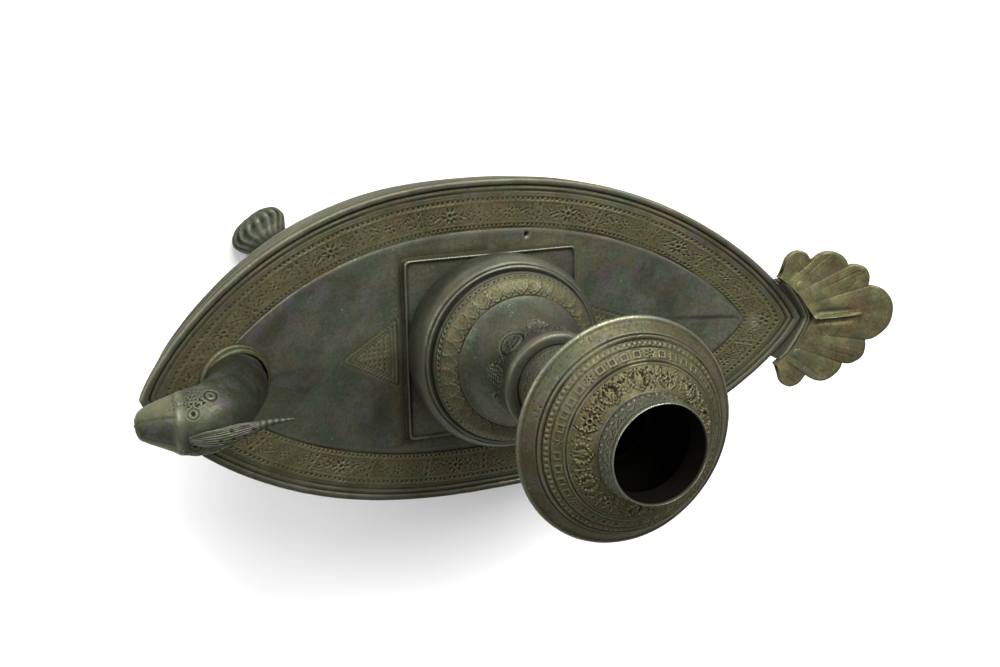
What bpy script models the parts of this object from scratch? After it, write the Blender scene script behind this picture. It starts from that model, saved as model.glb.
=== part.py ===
"""A covered bronze oil lamp: a boat-shaped reservoir on four fluted feet, with an engraved deck, a tall
neck with a drip flange and a round mouth, a bird's head at the -X tip and a palmette at the +X tip.

Metres, +Z up. The feet stand on z = 0, and the origin is below the middle of the whole lamp's length.
Heights and lengths below are measured from the middle of the deck, at its level at mid-length.
"""

import math

import bmesh
import bpy
from mathutils import Matrix, Vector

MM = 0.001
GAP = 0.3 * MM                 # clearance between pieces that touch

# Whole lamp
DECK_LEVEL = 68 * MM           # deck at mid-length above the ground
BEAK_REACH = 134 * MM          # from the middle of the deck to the beak's tip
TAIL_REACH = 170.5 * MM        # from the middle of the deck to the palmette's end
DECK_MIDDLE_X = (BEAK_REACH - TAIL_REACH) / 2
NECK_X = DECK_MIDDLE_X + 3 * MM

# Leaf-shaped deck
LEAF_HALF_LENGTH = 130 * MM
LEAF_HALF_WIDTH = 62 * MM
LEAF_POWER = 2.3               # how full the outline is along its length
LEAF_TIP_POWER = 0.8           # how blunt the tips are
SHEER = 22.4 * MM              # rise of the tips above mid-length
FIELD_HALF_LENGTH = 107 * MM   # plain inner field
FIELD_HALF_WIDTH = 43 * MM
FIELD_RIDGE = 1.6 * MM         # roof ridge of the field
DECK_THICKNESS = 2 * MM

# Rim moulding and hull
RIM_WIDTH = 2.7 * MM
RIM_CROWN = 0.8 * MM
RIM_DEPTH = 3 * MM
RIM_LEDGE = 5 * MM
HULL_INSET = 0.9 * MM
HULL_WALL = 2 * MM
HULL_KEEL = 56 * MM            # depth of the keel below the deck at mid-length
HULL_FULLNESS = 2.6            # 2 is an ellipse, more is boxier
KEEL_POWER = 2.4

# Neck and mouth, radii and heights above the deck
PLINTH_HALF_SIDE = 35.2 * MM
PLINTH_TOP = 4.6 * MM
PLINTH_LEAN = 0.6 * MM
WELL_RADIUS = 22 * MM          # opening from the dome into the reservoir
BASE_RING_BORE = 27 * MM
BASE_RING_TOP = 24.6 * MM
DOME_RADIUS = 32 * MM
DOME_TOP = 58 * MM
SHEET = 1.8 * MM
NECK_RADIUS = 14.2 * MM
NECK_BORE = 12.2 * MM
NECK_FOOT = 54 * MM
NECK_TOP = 103 * MM
KNOP_RADIUS = 18.5 * MM
KNOP_HEIGHT = 4.6 * MM
FLANGE_RADIUS = 36.3 * MM
FLANGE_RIM = 112.5 * MM
FLANGE_THROAT = 99 * MM
COLLAR_RADIUS = 16.6 * MM
MOUTH_RADIUS = 15.2 * MM
COLLAR_FOOT = 124.5 * MM
MOUTH_TOP = 135 * MM

# Bird, measured from the middle of the deck
BIRD_X = -97 * MM
BIRD_COLLAR_RADIUS = 13.4 * MM
BIRD_COLLAR_HEIGHT = 1.8 * MM
BIRD_NECK_RADIUS = 10.8 * MM
BIRD_TENON_RADIUS = 3 * MM
BIRD_COLLAR_LOW = 0.6 * MM
BIRD_SHOULDER = 1.5 * MM       # underside of the bird's neck, above the deck

# Palmette
TAIL_ROOT_X = 120 * MM
TAIL_LEVEL = 25 * MM           # top face at its root, above the deck
TAIL_SLOPE = 0.1
TAIL_THICKNESS = 3 * MM
TAIL_RIVET_X = 127 * MM
TAIL_RIVET_Y = 14 * MM
STRAP_WALL = 3.2 * MM
STRAP_LEDGE = 9 * MM
STRAP_SHEET = 1.8 * MM
STRAP_START_X = 115 * MM

# Feet, measured from the middle of the deck
FOOT_X = 65 * MM
FOOT_Y = 29.5 * MM
FOOT_TOE_X = 70.5 * MM
FOOT_TOE_Y = 37.5 * MM
FOOT_TOE_RADIUS = 11 * MM
FOOT_FLUTES = 9
RIVET_RADIUS = 1.5 * MM
RIVET_CLEARANCE = 0.35 * MM

ROUND = 40                     # sides of the turned pieces
SMALL_ROUND = 28
TINY_ROUND = 12
OVAL_ROUND = 20                # sides of the bird's sections


# ---------------------------------------------------------------- materials and objects

def bronze(name, colour, roughness):
    """A Principled material for one piece."""
    material = bpy.data.materials.new(name)
    material.use_nodes = True
    shader = material.node_tree.nodes["Principled BSDF"]
    shader.inputs["Base Color"].default_value = (*colour, 1)
    shader.inputs["Roughness"].default_value = roughness
    shader.inputs["Metallic"].default_value = 0.85
    return material


DARK = (0.095, 0.085, 0.055)
OLIVE = (0.13, 0.115, 0.065)
SLATE = (0.10, 0.11, 0.10)
PALE = (0.20, 0.21, 0.16)


def add_object(name, bm, colour=DARK, roughness=0.5):
    """Turns a bmesh into a named object with its own material."""
    bmesh.ops.remove_doubles(bm, verts=bm.verts, dist=1e-6)
    bmesh.ops.recalc_face_normals(bm, faces=bm.faces)
    mesh = bpy.data.meshes.new(name)
    bm.to_mesh(mesh)
    bm.free()
    mesh.materials.append(bronze(name + "_bronze", colour, roughness))
    mesh.shade_smooth()
    mesh.set_sharp_from_angle(angle=math.radians(35))
    piece = bpy.data.objects.new(name, mesh)
    bpy.context.scene.collection.objects.link(piece)
    return piece


def cut(piece, cutter):
    """Subtracts a cutter, which stays in the scene as a wire guide."""
    cutter.hide_render = True
    cutter.display_type = "WIRE"
    boolean = piece.modifiers.new("cut_by_" + cutter.name, "BOOLEAN")
    boolean.operation = "DIFFERENCE"
    boolean.solver = "EXACT"
    boolean.object = cutter


def join(piece, other):
    """A Boolean union with a guide that stays in the scene."""
    other.hide_render = True
    other.display_type = "WIRE"
    boolean = piece.modifiers.new("join_" + other.name, "BOOLEAN")
    boolean.operation = "UNION"
    boolean.solver = "EXACT"
    boolean.object = other


# ---------------------------------------------------------------- the leaf shape

def leaf_half_width(x, half_length=LEAF_HALF_LENGTH, half_width=LEAF_HALF_WIDTH):
    """Half the leaf's width at x from its middle."""
    along = min(1.0, abs(x) / half_length)
    return half_width * (1 - along ** LEAF_POWER) ** LEAF_TIP_POWER


def sheer(x):
    """Height of the deck's edge at x, above its level at mid-length."""
    return SHEER * (x / LEAF_HALF_LENGTH) ** 2


def deck_height(x, y):
    """Height of the deck's top face: the sheer, and the low roof of the field."""
    field = leaf_half_width(x, FIELD_HALF_LENGTH, FIELD_HALF_WIDTH)
    if abs(x) >= FIELD_HALF_LENGTH or abs(y) >= field:
        return sheer(x)
    roof = FIELD_RIDGE * (field / FIELD_HALF_WIDTH) * (1 - abs(y) / field)
    return sheer(x) + roof


def leaf_stations(half_length, count):
    """x values from tip to tip, closer together near the tips."""
    return [-half_length * math.cos(math.pi * i / count) for i in range(count + 1)]


def leaf_loop(count):
    """The leaf's outline as (x, y), anticlockwise from the -X tip."""
    stations = leaf_stations(LEAF_HALF_LENGTH, count)
    lower = [(x, -leaf_half_width(x)) for x in stations]
    upper = [(x, leaf_half_width(x)) for x in reversed(stations[1:-1])]
    return lower + upper


def inset_loop(loop, distance):
    """A closed loop moved inwards by a distance, with mitred corners."""
    moved = []
    for i, point in enumerate(loop):
        before = Vector(loop[i - 1])
        here = Vector(point)
        after = Vector(loop[(i + 1) % len(loop)])
        first = (here - before).normalized()
        second = (after - here).normalized()
        normal = Vector((-first.y - second.y, first.x + second.x)).normalized()
        stretch = normal.dot(Vector((-first.y, first.x)))
        moved.append(here + normal * distance / max(stretch, 0.3))
    return moved


def world(x, y, z):
    """A point given from the middle of the deck, in the lamp's own frame."""
    return Vector((x + DECK_MIDDLE_X, y, z + DECK_LEVEL))


# ---------------------------------------------------------------- hull, rim and deck

def hull_face(bm, inset, stations, steps):
    """Adds one open hull surface and returns its rows of points, tip to tip."""
    half_length = LEAF_HALF_LENGTH - HULL_INSET - inset * 1.5
    half_width = LEAF_HALF_WIDTH - HULL_INSET - inset
    keel_tip = SHEER - RIM_DEPTH - GAP
    rows = []
    for x in leaf_stations(half_length, stations):
        along = abs(x) / half_length
        top = sheer(x) - RIM_DEPTH - GAP
        keel = -HULL_KEEL + inset + (HULL_KEEL - inset + keel_tip) * along ** KEEL_POWER
        side = leaf_half_width(x, half_length, half_width)
        if along > 0.9999:
            rows.append([bm.verts.new(world(x, 0, top))])
            continue
        row = []
        for i in range(steps + 1):
            angle = math.pi * i / steps
            out = abs(math.cos(angle)) ** (2 / HULL_FULLNESS)
            down = abs(math.sin(angle)) ** (2 / HULL_FULLNESS)
            y = math.copysign(side * out, math.cos(angle))
            row.append(bm.verts.new(world(x, y, top - (top - keel) * down)))
        rows.append(row)
    skin(bm, rows)
    return rows


def skin(bm, rows):
    """Faces between neighbouring rows of points; a row of one point is a pole."""
    for first, second in zip(rows, rows[1:]):
        for i in range(max(len(first), len(second)) - 1):
            corners = [first[min(i, len(first) - 1)], second[min(i, len(second) - 1)]]
            corners += [second[min(i + 1, len(second) - 1)], first[min(i + 1, len(first) - 1)]]
            unique = list(dict.fromkeys(corners))
            bm.faces.new(unique)


def make_hull():
    """A round-bottomed boat of even wall, open at the top."""
    bm = bmesh.new()
    stations = 22
    steps = 14
    outer = hull_face(bm, 0, stations, steps)
    inner = hull_face(bm, HULL_WALL, stations, steps)
    outer_loop = [row[0] for row in outer] + [row[-1] for row in reversed(outer[1:-1])]
    inner_loop = [row[0] for row in inner] + [row[-1] for row in reversed(inner[1:-1])]
    for i, point in enumerate(outer_loop):
        j = (i + 1) % len(outer_loop)
        bm.faces.new([point, outer_loop[j], inner_loop[j], inner_loop[i]])
    return add_object("reservoir_hull", bm, DARK, 0.45)


def make_rim():
    """A rounded band with a ledge below the deck's edge, swept round the leaf."""
    section = [(0.6 * MM, -RIM_DEPTH), (0, -RIM_DEPTH * 0.6), (0, -RIM_DEPTH * 0.15)]
    section += [(0.25 * RIM_WIDTH, 0.6 * RIM_CROWN), (0.6 * RIM_WIDTH, RIM_CROWN)]
    section += [(RIM_WIDTH, 0.5 * RIM_CROWN), (RIM_WIDTH, -DECK_THICKNESS - GAP)]
    section += [(RIM_LEDGE, -DECK_THICKNESS - GAP), (RIM_LEDGE, -RIM_DEPTH)]
    loop = leaf_loop(30)
    bm = bmesh.new()
    rings = []
    for inset, rise in section:
        moved = inset_loop(loop, inset)
        rings.append([bm.verts.new(world(x, y, sheer(x) + rise)) for x, y in moved])
    for k, ring in enumerate(rings):
        below = rings[(k + 1) % len(rings)]
        for i in range(len(loop)):
            j = (i + 1) % len(loop)
            bm.faces.new([ring[i], ring[j], below[j], below[i]])
    return add_object("rim_moulding", bm, DARK, 0.4)


def deck_sheet(rise, drop):
    """A sheet that follows the sheer and the field's roof, between two offsets from the deck's top."""
    edge = inset_loop(leaf_loop(28), RIM_WIDTH + GAP)
    count = 28
    across = 12
    bm = bmesh.new()
    sheets = []
    for offset in (rise, -drop):
        rows = []
        for i in range(count + 1):
            x, y_low = edge[i]
            if i in (0, count):
                rows.append([bm.verts.new(world(x, 0, sheer(x) + offset))])
                continue
            field = leaf_half_width(x, FIELD_HALF_LENGTH, FIELD_HALF_WIDTH)
            spread = edge_spread(-y_low, field, across)
            row = [bm.verts.new(world(x, y, deck_height(x, y) + offset)) for y in spread]
            rows.append(row)
        skin(bm, rows)
        sheets.append(rows)
    top, bottom = sheets
    for side in (0, -1):
        for i in range(count):
            corners = [top[i][side], top[i + 1][side], bottom[i + 1][side], bottom[i][side]]
            bm.faces.new(list(dict.fromkeys(corners)))
    return bm


def edge_spread(half_width, field, across):
    """y values across the deck: evenly over the field, then over the border."""
    inner = max(min(field, 0.92 * half_width), 0.5 * half_width)
    half = across // 2
    steps = [inner * i / (half - 2) for i in range(half - 1)]
    steps += [inner + (half_width - inner) * i / 2 for i in (1, 2)]
    return [-y for y in reversed(steps[1:])] + steps


def make_plinth(deck_space):
    """A square block with leaning sides, cut to sit on the deck."""
    bm = bmesh.new()
    place = Matrix.Translation((NECK_X, 0, DECK_LEVEL + PLINTH_TOP / 2))
    bmesh.ops.create_cube(bm, size=1, matrix=place @ Matrix.Diagonal(
        (2 * PLINTH_HALF_SIDE, 2 * PLINTH_HALF_SIDE, PLINTH_TOP, 1)))
    for vert in bm.verts:
        if vert.co.z > DECK_LEVEL + PLINTH_TOP / 2:
            vert.co.x -= math.copysign(PLINTH_LEAN, vert.co.x - NECK_X)
            vert.co.y -= math.copysign(PLINTH_LEAN, vert.co.y)
    plinth = add_object("square_plinth", bm, SLATE, 0.45)
    cut(plinth, deck_space)
    return plinth


def cylinder_bmesh(radius, low, high, sides, matrix):
    """A closed cylinder between two heights along its own Z axis, placed by a matrix."""
    bm = bmesh.new()
    middle = Matrix.Translation((0, 0, (low + high) / 2))
    bmesh.ops.create_cone(bm, cap_ends=True, segments=sides, radius1=radius, radius2=radius,
                          depth=high - low, matrix=matrix @ middle)
    return bm


# ---------------------------------------------------------------- turned pieces

def arc_points(start, end, bulge, count):
    """Points on a shallow arc between two (radius, height) points, bulging outwards."""
    a = Vector(start)
    b = Vector(end)
    along = b - a
    out = Vector((along.y, -along.x)).normalized()
    if out.x < 0:
        out = -out
    points = []
    for i in range(count + 1):
        t = i / count
        points.append(tuple(a + along * t + out * bulge * 4 * t * (1 - t)))
    return points


def turned(name, profile, colour, roughness, sides=ROUND, matrix=None):
    """A ring turned from a closed (radius, height) profile round the Z axis of a matrix."""
    place = matrix or Matrix.Translation((NECK_X, 0, DECK_LEVEL))
    bm = bmesh.new()
    rings = []
    for i in range(sides):
        turn = 2 * math.pi * i / sides
        ring = [bm.verts.new(place @ Vector((r * math.cos(turn), r * math.sin(turn), z)))
                for r, z in profile]
        rings.append(ring)
    for i, ring in enumerate(rings):
        after = rings[(i + 1) % sides]
        for k in range(len(profile)):
            j = (k + 1) % len(profile)
            bm.faces.new([ring[k], after[k], after[j], ring[j]])
    return add_object(name, bm, colour, roughness)


def make_dome_and_neck():
    """The turned stack on the plinth: base ring, bell, knop, tube, flange and mouth."""
    # The base ring swells upwards and rounds over into a groove
    ring_low = PLINTH_TOP + GAP
    ring = [(34.6, 0), (35.4, 0.2), (36.6, 0.46), (37, 0.66), (36.3, 0.84), (34.6, 0.97), (32.8, 1)]
    ring_height = BASE_RING_TOP - ring_low
    profile = [(r * MM, ring_low + ring_height * up) for r, up in ring]
    profile += [(BASE_RING_BORE, BASE_RING_TOP), (BASE_RING_BORE, ring_low)]
    turned("dome_base_ring", profile, SLATE, 0.4)

    # The dome is a bell: a flat round shoulder, then a hollow curve up to the neck
    dome_low = BASE_RING_TOP + GAP
    shoulder = [(DOME_RADIUS - 0.4 * MM, dome_low)]
    shoulder += arc_points((DOME_RADIUS, dome_low + 2 * MM), (25 * MM, 32.4 * MM), 1.4 * MM, 3)
    bell_top = (NECK_RADIUS + GAP + 2.9 * MM, DOME_TOP)
    outer = shoulder + arc_points((22.6 * MM, 34.8 * MM), bell_top, -1.9 * MM, 4)
    bore = NECK_RADIUS + GAP
    inner = [(bore, DOME_TOP), (bore, NECK_FOOT - 2 * MM)]
    inner += arc_points((bore + 1 * MM, NECK_FOOT - 5 * MM), (20.6 * MM, 33.4 * MM), -1.2 * MM, 3)
    inner += arc_points((23.4 * MM, 31.4 * MM), (DOME_RADIUS - 3.2 * MM, dome_low + 2 * MM), 0.8 * MM, 2)
    inner += [(DOME_RADIUS - 3.2 * MM, dome_low)]
    turned("dome_shell", outer + inner, OLIVE, 0.5)

    knop_low = DOME_TOP + GAP
    knop = [(bore, knop_low), (KNOP_RADIUS - 2 * MM, knop_low)]
    for i in range(5):
        turn = math.radians(-60 + 30 * i)
        knop.append((KNOP_RADIUS - 2 * MM + 2 * MM * math.cos(turn),
                     knop_low + KNOP_HEIGHT * (0.5 + 0.45 * math.sin(turn))))
    knop += [(KNOP_RADIUS - 2.4 * MM, knop_low + KNOP_HEIGHT), (bore, knop_low + KNOP_HEIGHT)]
    turned("neck_ring", knop, SLATE, 0.3)

    tube = [(NECK_RADIUS, NECK_FOOT), (NECK_RADIUS, DOME_TOP + KNOP_HEIGHT)]
    tube += [(NECK_RADIUS, NECK_TOP), (NECK_BORE, NECK_TOP), (NECK_BORE, NECK_FOOT)]
    turned("neck_tube", tube, SLATE, 0.45)

    throat = NECK_RADIUS + GAP
    cup = [(throat + SHEET, FLANGE_THROAT), (throat + 2.6 * MM, FLANGE_THROAT + 3 * MM)]
    cup += arc_points((throat + 4.5 * MM, FLANGE_THROAT + 6.5 * MM),
                      (FLANGE_RADIUS - 0.4 * MM, FLANGE_RIM - 0.6 * MM), 1 * MM, 4)
    cup += [(FLANGE_RADIUS - 2.4 * MM, FLANGE_RIM - 0.6 * MM)]
    cup += arc_points((FLANGE_RADIUS - 4 * MM, FLANGE_RIM - 1.2 * MM),
                      (throat + 3.5 * MM, FLANGE_THROAT + 8.6 * MM), 1 * MM, 3)
    cup += [(throat, FLANGE_THROAT + 5 * MM), (throat, FLANGE_THROAT)]
    turned("flange_underside", cup, DARK, 0.45)

    seat = COLLAR_RADIUS + GAP
    saucer = [(FLANGE_RADIUS - 0.4 * MM, FLANGE_RIM - 0.3 * MM)]
    saucer += [(FLANGE_RADIUS, FLANGE_RIM + 0.2 * MM), (FLANGE_RADIUS - 0.7 * MM, FLANGE_RIM + 1 * MM)]
    saucer += arc_points((FLANGE_RADIUS - 5.1 * MM, FLANGE_RIM + 3.8 * MM),
                         (seat, COLLAR_FOOT + 2.3 * MM), 1 * MM, 4)
    saucer += arc_points((seat, COLLAR_FOOT + 0.1 * MM),
                         (FLANGE_RADIUS - 5.9 * MM, FLANGE_RIM + 2 * MM), 1 * MM, 4)
    saucer += [(FLANGE_RADIUS - 2.4 * MM, FLANGE_RIM - 0.3 * MM)]
    turned("flange_top", saucer, OLIVE, 0.5)

    lip = [(COLLAR_RADIUS, COLLAR_FOOT), (COLLAR_RADIUS, MOUTH_TOP - 1.5 * MM)]
    lip += [(COLLAR_RADIUS - 0.4 * MM, MOUTH_TOP - 0.3 * MM), (COLLAR_RADIUS - 1 * MM, MOUTH_TOP)]
    lip += [(MOUTH_RADIUS, MOUTH_TOP - 0.3 * MM), (MOUTH_RADIUS, COLLAR_FOOT)]
    turned("mouth_collar", lip, SLATE, 0.4)


# ---------------------------------------------------------------- lofted pieces

def loft(bm, sections):
    """A closed body through rings of points, capped at both ends."""
    rings = [[bm.verts.new(p) for p in ring] for ring in sections]
    count = len(rings[0])
    for first, second in zip(rings, rings[1:]):
        for i in range(count):
            j = (i + 1) % count
            bm.faces.new([first[i], first[j], second[j], second[i]])
    bm.faces.new(rings[0][::-1])
    bm.faces.new(rings[-1])


def oval(centre, side, up, half_side, half_up, count):
    """Points on an ellipse spanned by two unit vectors."""
    ring = []
    for i in range(count):
        turn = 2 * math.pi * i / count
        ring.append(centre + side * half_side * math.cos(turn) + up * half_up * math.sin(turn))
    return ring


def bird_frame():
    """The bird collar's frame: Z square to the deck, origin on the deck's top face."""
    slope = 2 * SHEER * BIRD_X / LEAF_HALF_LENGTH ** 2
    normal = Vector((-slope, 0, 1)).normalized()
    turn = Vector((0, 0, 1)).rotation_difference(normal).to_matrix().to_4x4()
    return Matrix.Translation(world(BIRD_X, 0, sheer(BIRD_X))) @ turn


def make_bird(deck_space):
    """Two stepped collars, the neck and head with a tenon through the deck, and the crest."""
    frame = bird_frame()
    lower_top = BIRD_COLLAR_LOW + BIRD_COLLAR_HEIGHT
    bore = BIRD_NECK_RADIUS + GAP
    half = BIRD_COLLAR_HEIGHT / 2
    for name, radius, low in (("bird_collar_lower", BIRD_COLLAR_RADIUS, BIRD_COLLAR_LOW),
                              ("bird_collar_upper", BIRD_COLLAR_RADIUS - 1 * MM, lower_top + GAP)):
        sunk = low - 2 * MM if low < lower_top else low
        ring = [(bore, sunk), (radius - 0.8 * MM, sunk), (radius, low + 0.6 * half)]
        ring += [(radius, low + 1.3 * half), (radius - 0.8 * MM, low + 2 * half)]
        ring += [(bore, low + 2 * half)]
        collar = turned(name, ring, OLIVE, 0.45, SMALL_ROUND, frame)
        if low < lower_top:
            cut(collar, deck_space)

    # Neck and head are one casting: (x, z) of the middle, half width, half height, tilt in degrees
    side = Vector((0, 1, 0))
    sections = []
    axis_x = frame.to_3x3() @ Vector((1, 0, 0))
    collar_top = BIRD_COLLAR_LOW + 2 * BIRD_COLLAR_HEIGHT + GAP
    rises = [(-DECK_THICKNESS - 2 * MM, BIRD_TENON_RADIUS), (BIRD_SHOULDER, BIRD_TENON_RADIUS)]
    rises += [(BIRD_SHOULDER, BIRD_NECK_RADIUS), (BIRD_SHOULDER + collar_top, BIRD_NECK_RADIUS)]
    for height, radius in rises:
        sections.append(oval(frame @ Vector((0, 0, height)), axis_x, side, radius, radius, OVAL_ROUND))
    stations = [(-98.8, 24.5, 10.6, 10.6, 2), (-101, 30, 10.2, 10.6, 14), (-104, 36, 10.0, 10.8, 30),
                (-107, 43, 10.6, 11.2, 50), (-111.5, 48, 11.2, 11.4, 72), (-117, 50, 10.8, 10.4, 88),
                (-121.5, 49.6, 9.6, 8.6, 95), (-126, 48.2, 7.6, 6.4, 100), (-130.5, 46.4, 5, 4.2, 104),
                (-133.4, 45.2, 2.4, 2.2, 108)]
    for x, z, half_side, half_up, tilt in stations:
        lean = math.radians(tilt)
        up = Vector((math.cos(lean), 0, math.sin(lean)))
        centre = world(x * MM, 0, z * MM)
        sections.append(oval(centre, up, side, half_up * MM, half_side * MM, OVAL_ROUND))
    bm = bmesh.new()
    loft(bm, sections)
    add_object("bird_finial", bm, PALE, 0.5)

    # The crest is a thin blade that sweeps back from the crown to a point
    blade = [(-120.5, 60.6, 1.4, 0.6), (-115, 62, 3.2, 1.1), (-108, 61.7, 3.4, 1.9),
             (-100, 61, 2.4, 1.5), (-93, 60.6, 1.5, 1), (-87, 60.4, 0.5, 0.4)]
    rings = [oval(world(x * MM, 0, z * MM), side, Vector((0, 0, 1)), half_y * MM, half_z * MM, TINY_ROUND)
             for x, z, half_y, half_z in blade]
    bm = bmesh.new()
    loft(bm, rings)
    add_object("bird_crest", bm, OLIVE, 0.45)


def make_strap(loop, path):
    """A V-shaped strap round the +X tip, with a ledge that carries the palmette."""
    foot = sheer(TAIL_ROOT_X) - 1.2 * MM
    ledge_top = tail_height(TAIL_ROOT_X) - TAIL_THICKNESS - GAP
    section = [(GAP, foot), (GAP, TAIL_LEVEL - 1.6 * MM), (STRAP_WALL, TAIL_LEVEL - 1 * MM)]
    section += [(STRAP_WALL, ledge_top), (STRAP_LEDGE, ledge_top)]
    section += [(STRAP_LEDGE, ledge_top - STRAP_SHEET), (STRAP_WALL, foot)]
    moved = [inset_loop(loop, -out) for out, _ in section]
    sections = []
    for i in path:
        ring = []
        for line, (_, height) in zip(moved, section):
            ring.append(world(line[i].x, line[i].y, height))
        sections.append(ring)
    bm = bmesh.new()
    loft(bm, sections)
    return add_object("tail_strap", bm, DARK, 0.45)


def make_palmette(loop, path):
    """The scalloped plate beyond the strap, with a raised midrib."""
    outline = palmette_outline(inset_loop(loop, -(STRAP_WALL + GAP)), path)
    bm = bmesh.new()
    top = [bm.verts.new(world(x, y, tail_height(x))) for x, y in outline]
    bottom = [bm.verts.new(world(x, y, tail_height(x) - TAIL_THICKNESS)) for x, y in outline]
    count = len(outline)
    for i in range(count):
        j = (i + 1) % count
        bm.faces.new([top[i], top[j], bottom[j], bottom[i]])
    for ring in (top, bottom[::-1]):
        face = bm.faces.new(ring)
        bmesh.ops.triangulate(bm, faces=[face])
    palmette = add_object("tail_palmette", bm, OLIVE, 0.5)

    # The midrib: (x, height above the plate, half width) along its length
    rings = []
    for x, rise, half_width in [(136, 0.2, 2.6), (150, 1.6, 2.2), (160, 0.2, 1.2)]:
        level = tail_height(x * MM)
        ring = [(half_width, -0.8), (0, rise), (-half_width, -0.8), (0, -1.2)]
        rings.append([world(x * MM, y * MM, level + z * MM) for y, z in ring])
    rib = bmesh.new()
    loft(rib, rings)
    join(palmette, add_object("midrib_guide", rib))
    return palmette


def make_tail():
    """The strap, the palmette and the two rivets that hold it on the strap's ledge."""
    loop = leaf_loop(30)
    path = [i for i, (x, _) in enumerate(loop) if x > STRAP_START_X]
    strap = make_strap(loop, path)
    palmette = make_palmette(loop, path)
    top_face = tail_height(TAIL_RIVET_X)
    low = tail_height(TAIL_ROOT_X) - TAIL_THICKNESS - STRAP_SHEET - 1.3 * MM
    for side, name in ((1, "left"), (-1, "right")):
        place = Matrix.Translation(world(TAIL_RIVET_X, side * TAIL_RIVET_Y, 0))
        drill = cylinder_bmesh(RIVET_RADIUS + RIVET_CLEARANCE, low - 4 * MM, top_face + 4 * MM,
                               TINY_ROUND, place)
        hole = add_object("tail_hole_" + name, drill)
        cut(strap, hole)
        cut(palmette, hole)
        rivet = [(0, low), (RIVET_RADIUS, low), (RIVET_RADIUS, top_face + GAP)]
        rivet += [(2.4 * MM, top_face + 0.6 * MM), (2 * MM, top_face + 1.3 * MM)]
        rivet += [(0, top_face + 1.7 * MM)]
        solid_turned("tail_rivet_" + name, rivet, place, OLIVE)


def solid_turned(name, profile, place, colour):
    """A solid turned from an open profile that starts and ends on its axis."""
    bm = bmesh.new()
    low = bm.verts.new(place @ Vector((0, 0, profile[0][1])))
    high = bm.verts.new(place @ Vector((0, 0, profile[-1][1])))
    rings = []
    for r, z in profile[1:-1]:
        ring = []
        for i in range(TINY_ROUND):
            turn = 2 * math.pi * i / TINY_ROUND
            ring.append(bm.verts.new(place @ Vector((r * math.cos(turn), r * math.sin(turn), z))))
        rings.append(ring)
    for i in range(TINY_ROUND):
        j = (i + 1) % TINY_ROUND
        bm.faces.new([low, rings[0][j], rings[0][i]])
        bm.faces.new([high, rings[-1][i], rings[-1][j]])
        for first, second in zip(rings, rings[1:]):
            bm.faces.new([first[i], first[j], second[j], second[i]])
    return add_object(name, bm, colour, 0.4)


def tail_height(x):
    """Height of the palmette's top face, which rises slightly outwards."""
    return TAIL_LEVEL + TAIL_SLOPE * (x - TAIL_RIVET_X)


def palmette_outline(root_line, path):
    """(x, y) of the palmette: the V of the strap, then seven round lobes."""
    # Each lobe: middle (x, y) and radius, from the +Y root round the end to the -Y root
    half = [(125.8, 22.3, 6), (139.5, 17.3, 9.8), (151.5, 13.5, 7.5)]
    lobes = half + [(159, 0, 11.5)] + [(x, -y, r) for x, y, r in reversed(half)]
    centre = Vector((146, 0))
    outline = []
    turns = 44
    for i in range(turns + 1):
        angle = math.radians(142 - 284 * i / turns)
        ray = Vector((math.cos(angle), math.sin(angle)))
        reach = max(circle_reach(centre, ray, lobe) for lobe in lobes)
        point = centre + ray * reach
        outline.append((point.x * MM, point.y * MM))
    inner = [tuple(root_line[i]) for i in path if root_line[i].x > TAIL_ROOT_X + 1 * MM]
    return outline + inner


def circle_reach(centre, ray, lobe):
    """How far a ray from the centre goes before it leaves a round lobe, or 0."""
    x, y, radius = lobe
    to_lobe = Vector((x, y)) - centre
    along = to_lobe.dot(ray)
    beside = to_lobe.length_squared - along * along
    if beside > radius * radius:
        return 0
    return along + math.sqrt(radius * radius - beside)


# ---------------------------------------------------------------- feet

def hull_point(x, y):
    """The point of the hull's outer face above (x, y), and its outward normal."""
    def height(px, py):
        half_length = LEAF_HALF_LENGTH - HULL_INSET
        half_width = LEAF_HALF_WIDTH - HULL_INSET
        along = abs(px) / half_length
        top = sheer(px) - RIM_DEPTH - GAP
        keel = -HULL_KEEL + (HULL_KEEL + SHEER - RIM_DEPTH - GAP) * along ** KEEL_POWER
        across = abs(py) / leaf_half_width(px, half_length, half_width)
        down = (1 - across ** HULL_FULLNESS) ** (1 / HULL_FULLNESS)
        return top - (top - keel) * down
    step = 0.1 * MM
    slope_x = (height(x + step, y) - height(x - step, y)) / (2 * step)
    slope_y = (height(x, y + step) - height(x, y - step)) / (2 * step)
    normal = Vector((slope_x, slope_y, -1)).normalized()
    return Vector((x, y, height(x, y))), normal


def fluted_ring(centre, side, up, half_side, half_up, depth, count):
    """An oval ring with shallow flutes."""
    ring = []
    for i in range(count):
        turn = 2 * math.pi * i / count
        ripple = 1 - depth * (0.5 + 0.5 * math.cos(FOOT_FLUTES * turn))
        point = side * half_side * math.cos(turn) + up * half_up * math.sin(turn)
        ring.append(centre + point * ripple)
    return ring


def make_feet(hull):
    """Four cast feet, each riveted through the hull from inside."""
    cutter_bm = bmesh.new()
    rows = hull_face(cutter_bm, -GAP, 22, 14)
    lid = [row[0] for row in rows] + [row[-1] for row in reversed(rows[1:-1])]
    cutter_bm.faces.new(lid)
    hull_space = add_object("hull_space", cutter_bm)
    ground_bm = bmesh.new()
    deep = Matrix.Translation((0, 0, -20 * MM)) @ Matrix.Diagonal((400 * MM, 200 * MM, 40 * MM, 1))
    bmesh.ops.create_cube(ground_bm, size=1, matrix=deep)
    ground = add_object("ground", ground_bm)
    for end, sign_x in (("front", -1), ("rear", 1)):
        for hand, sign_y in (("left", 1), ("right", -1)):
            make_foot(f"foot_{end}_{hand}", sign_x, sign_y, hull, hull_space, ground)


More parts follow.
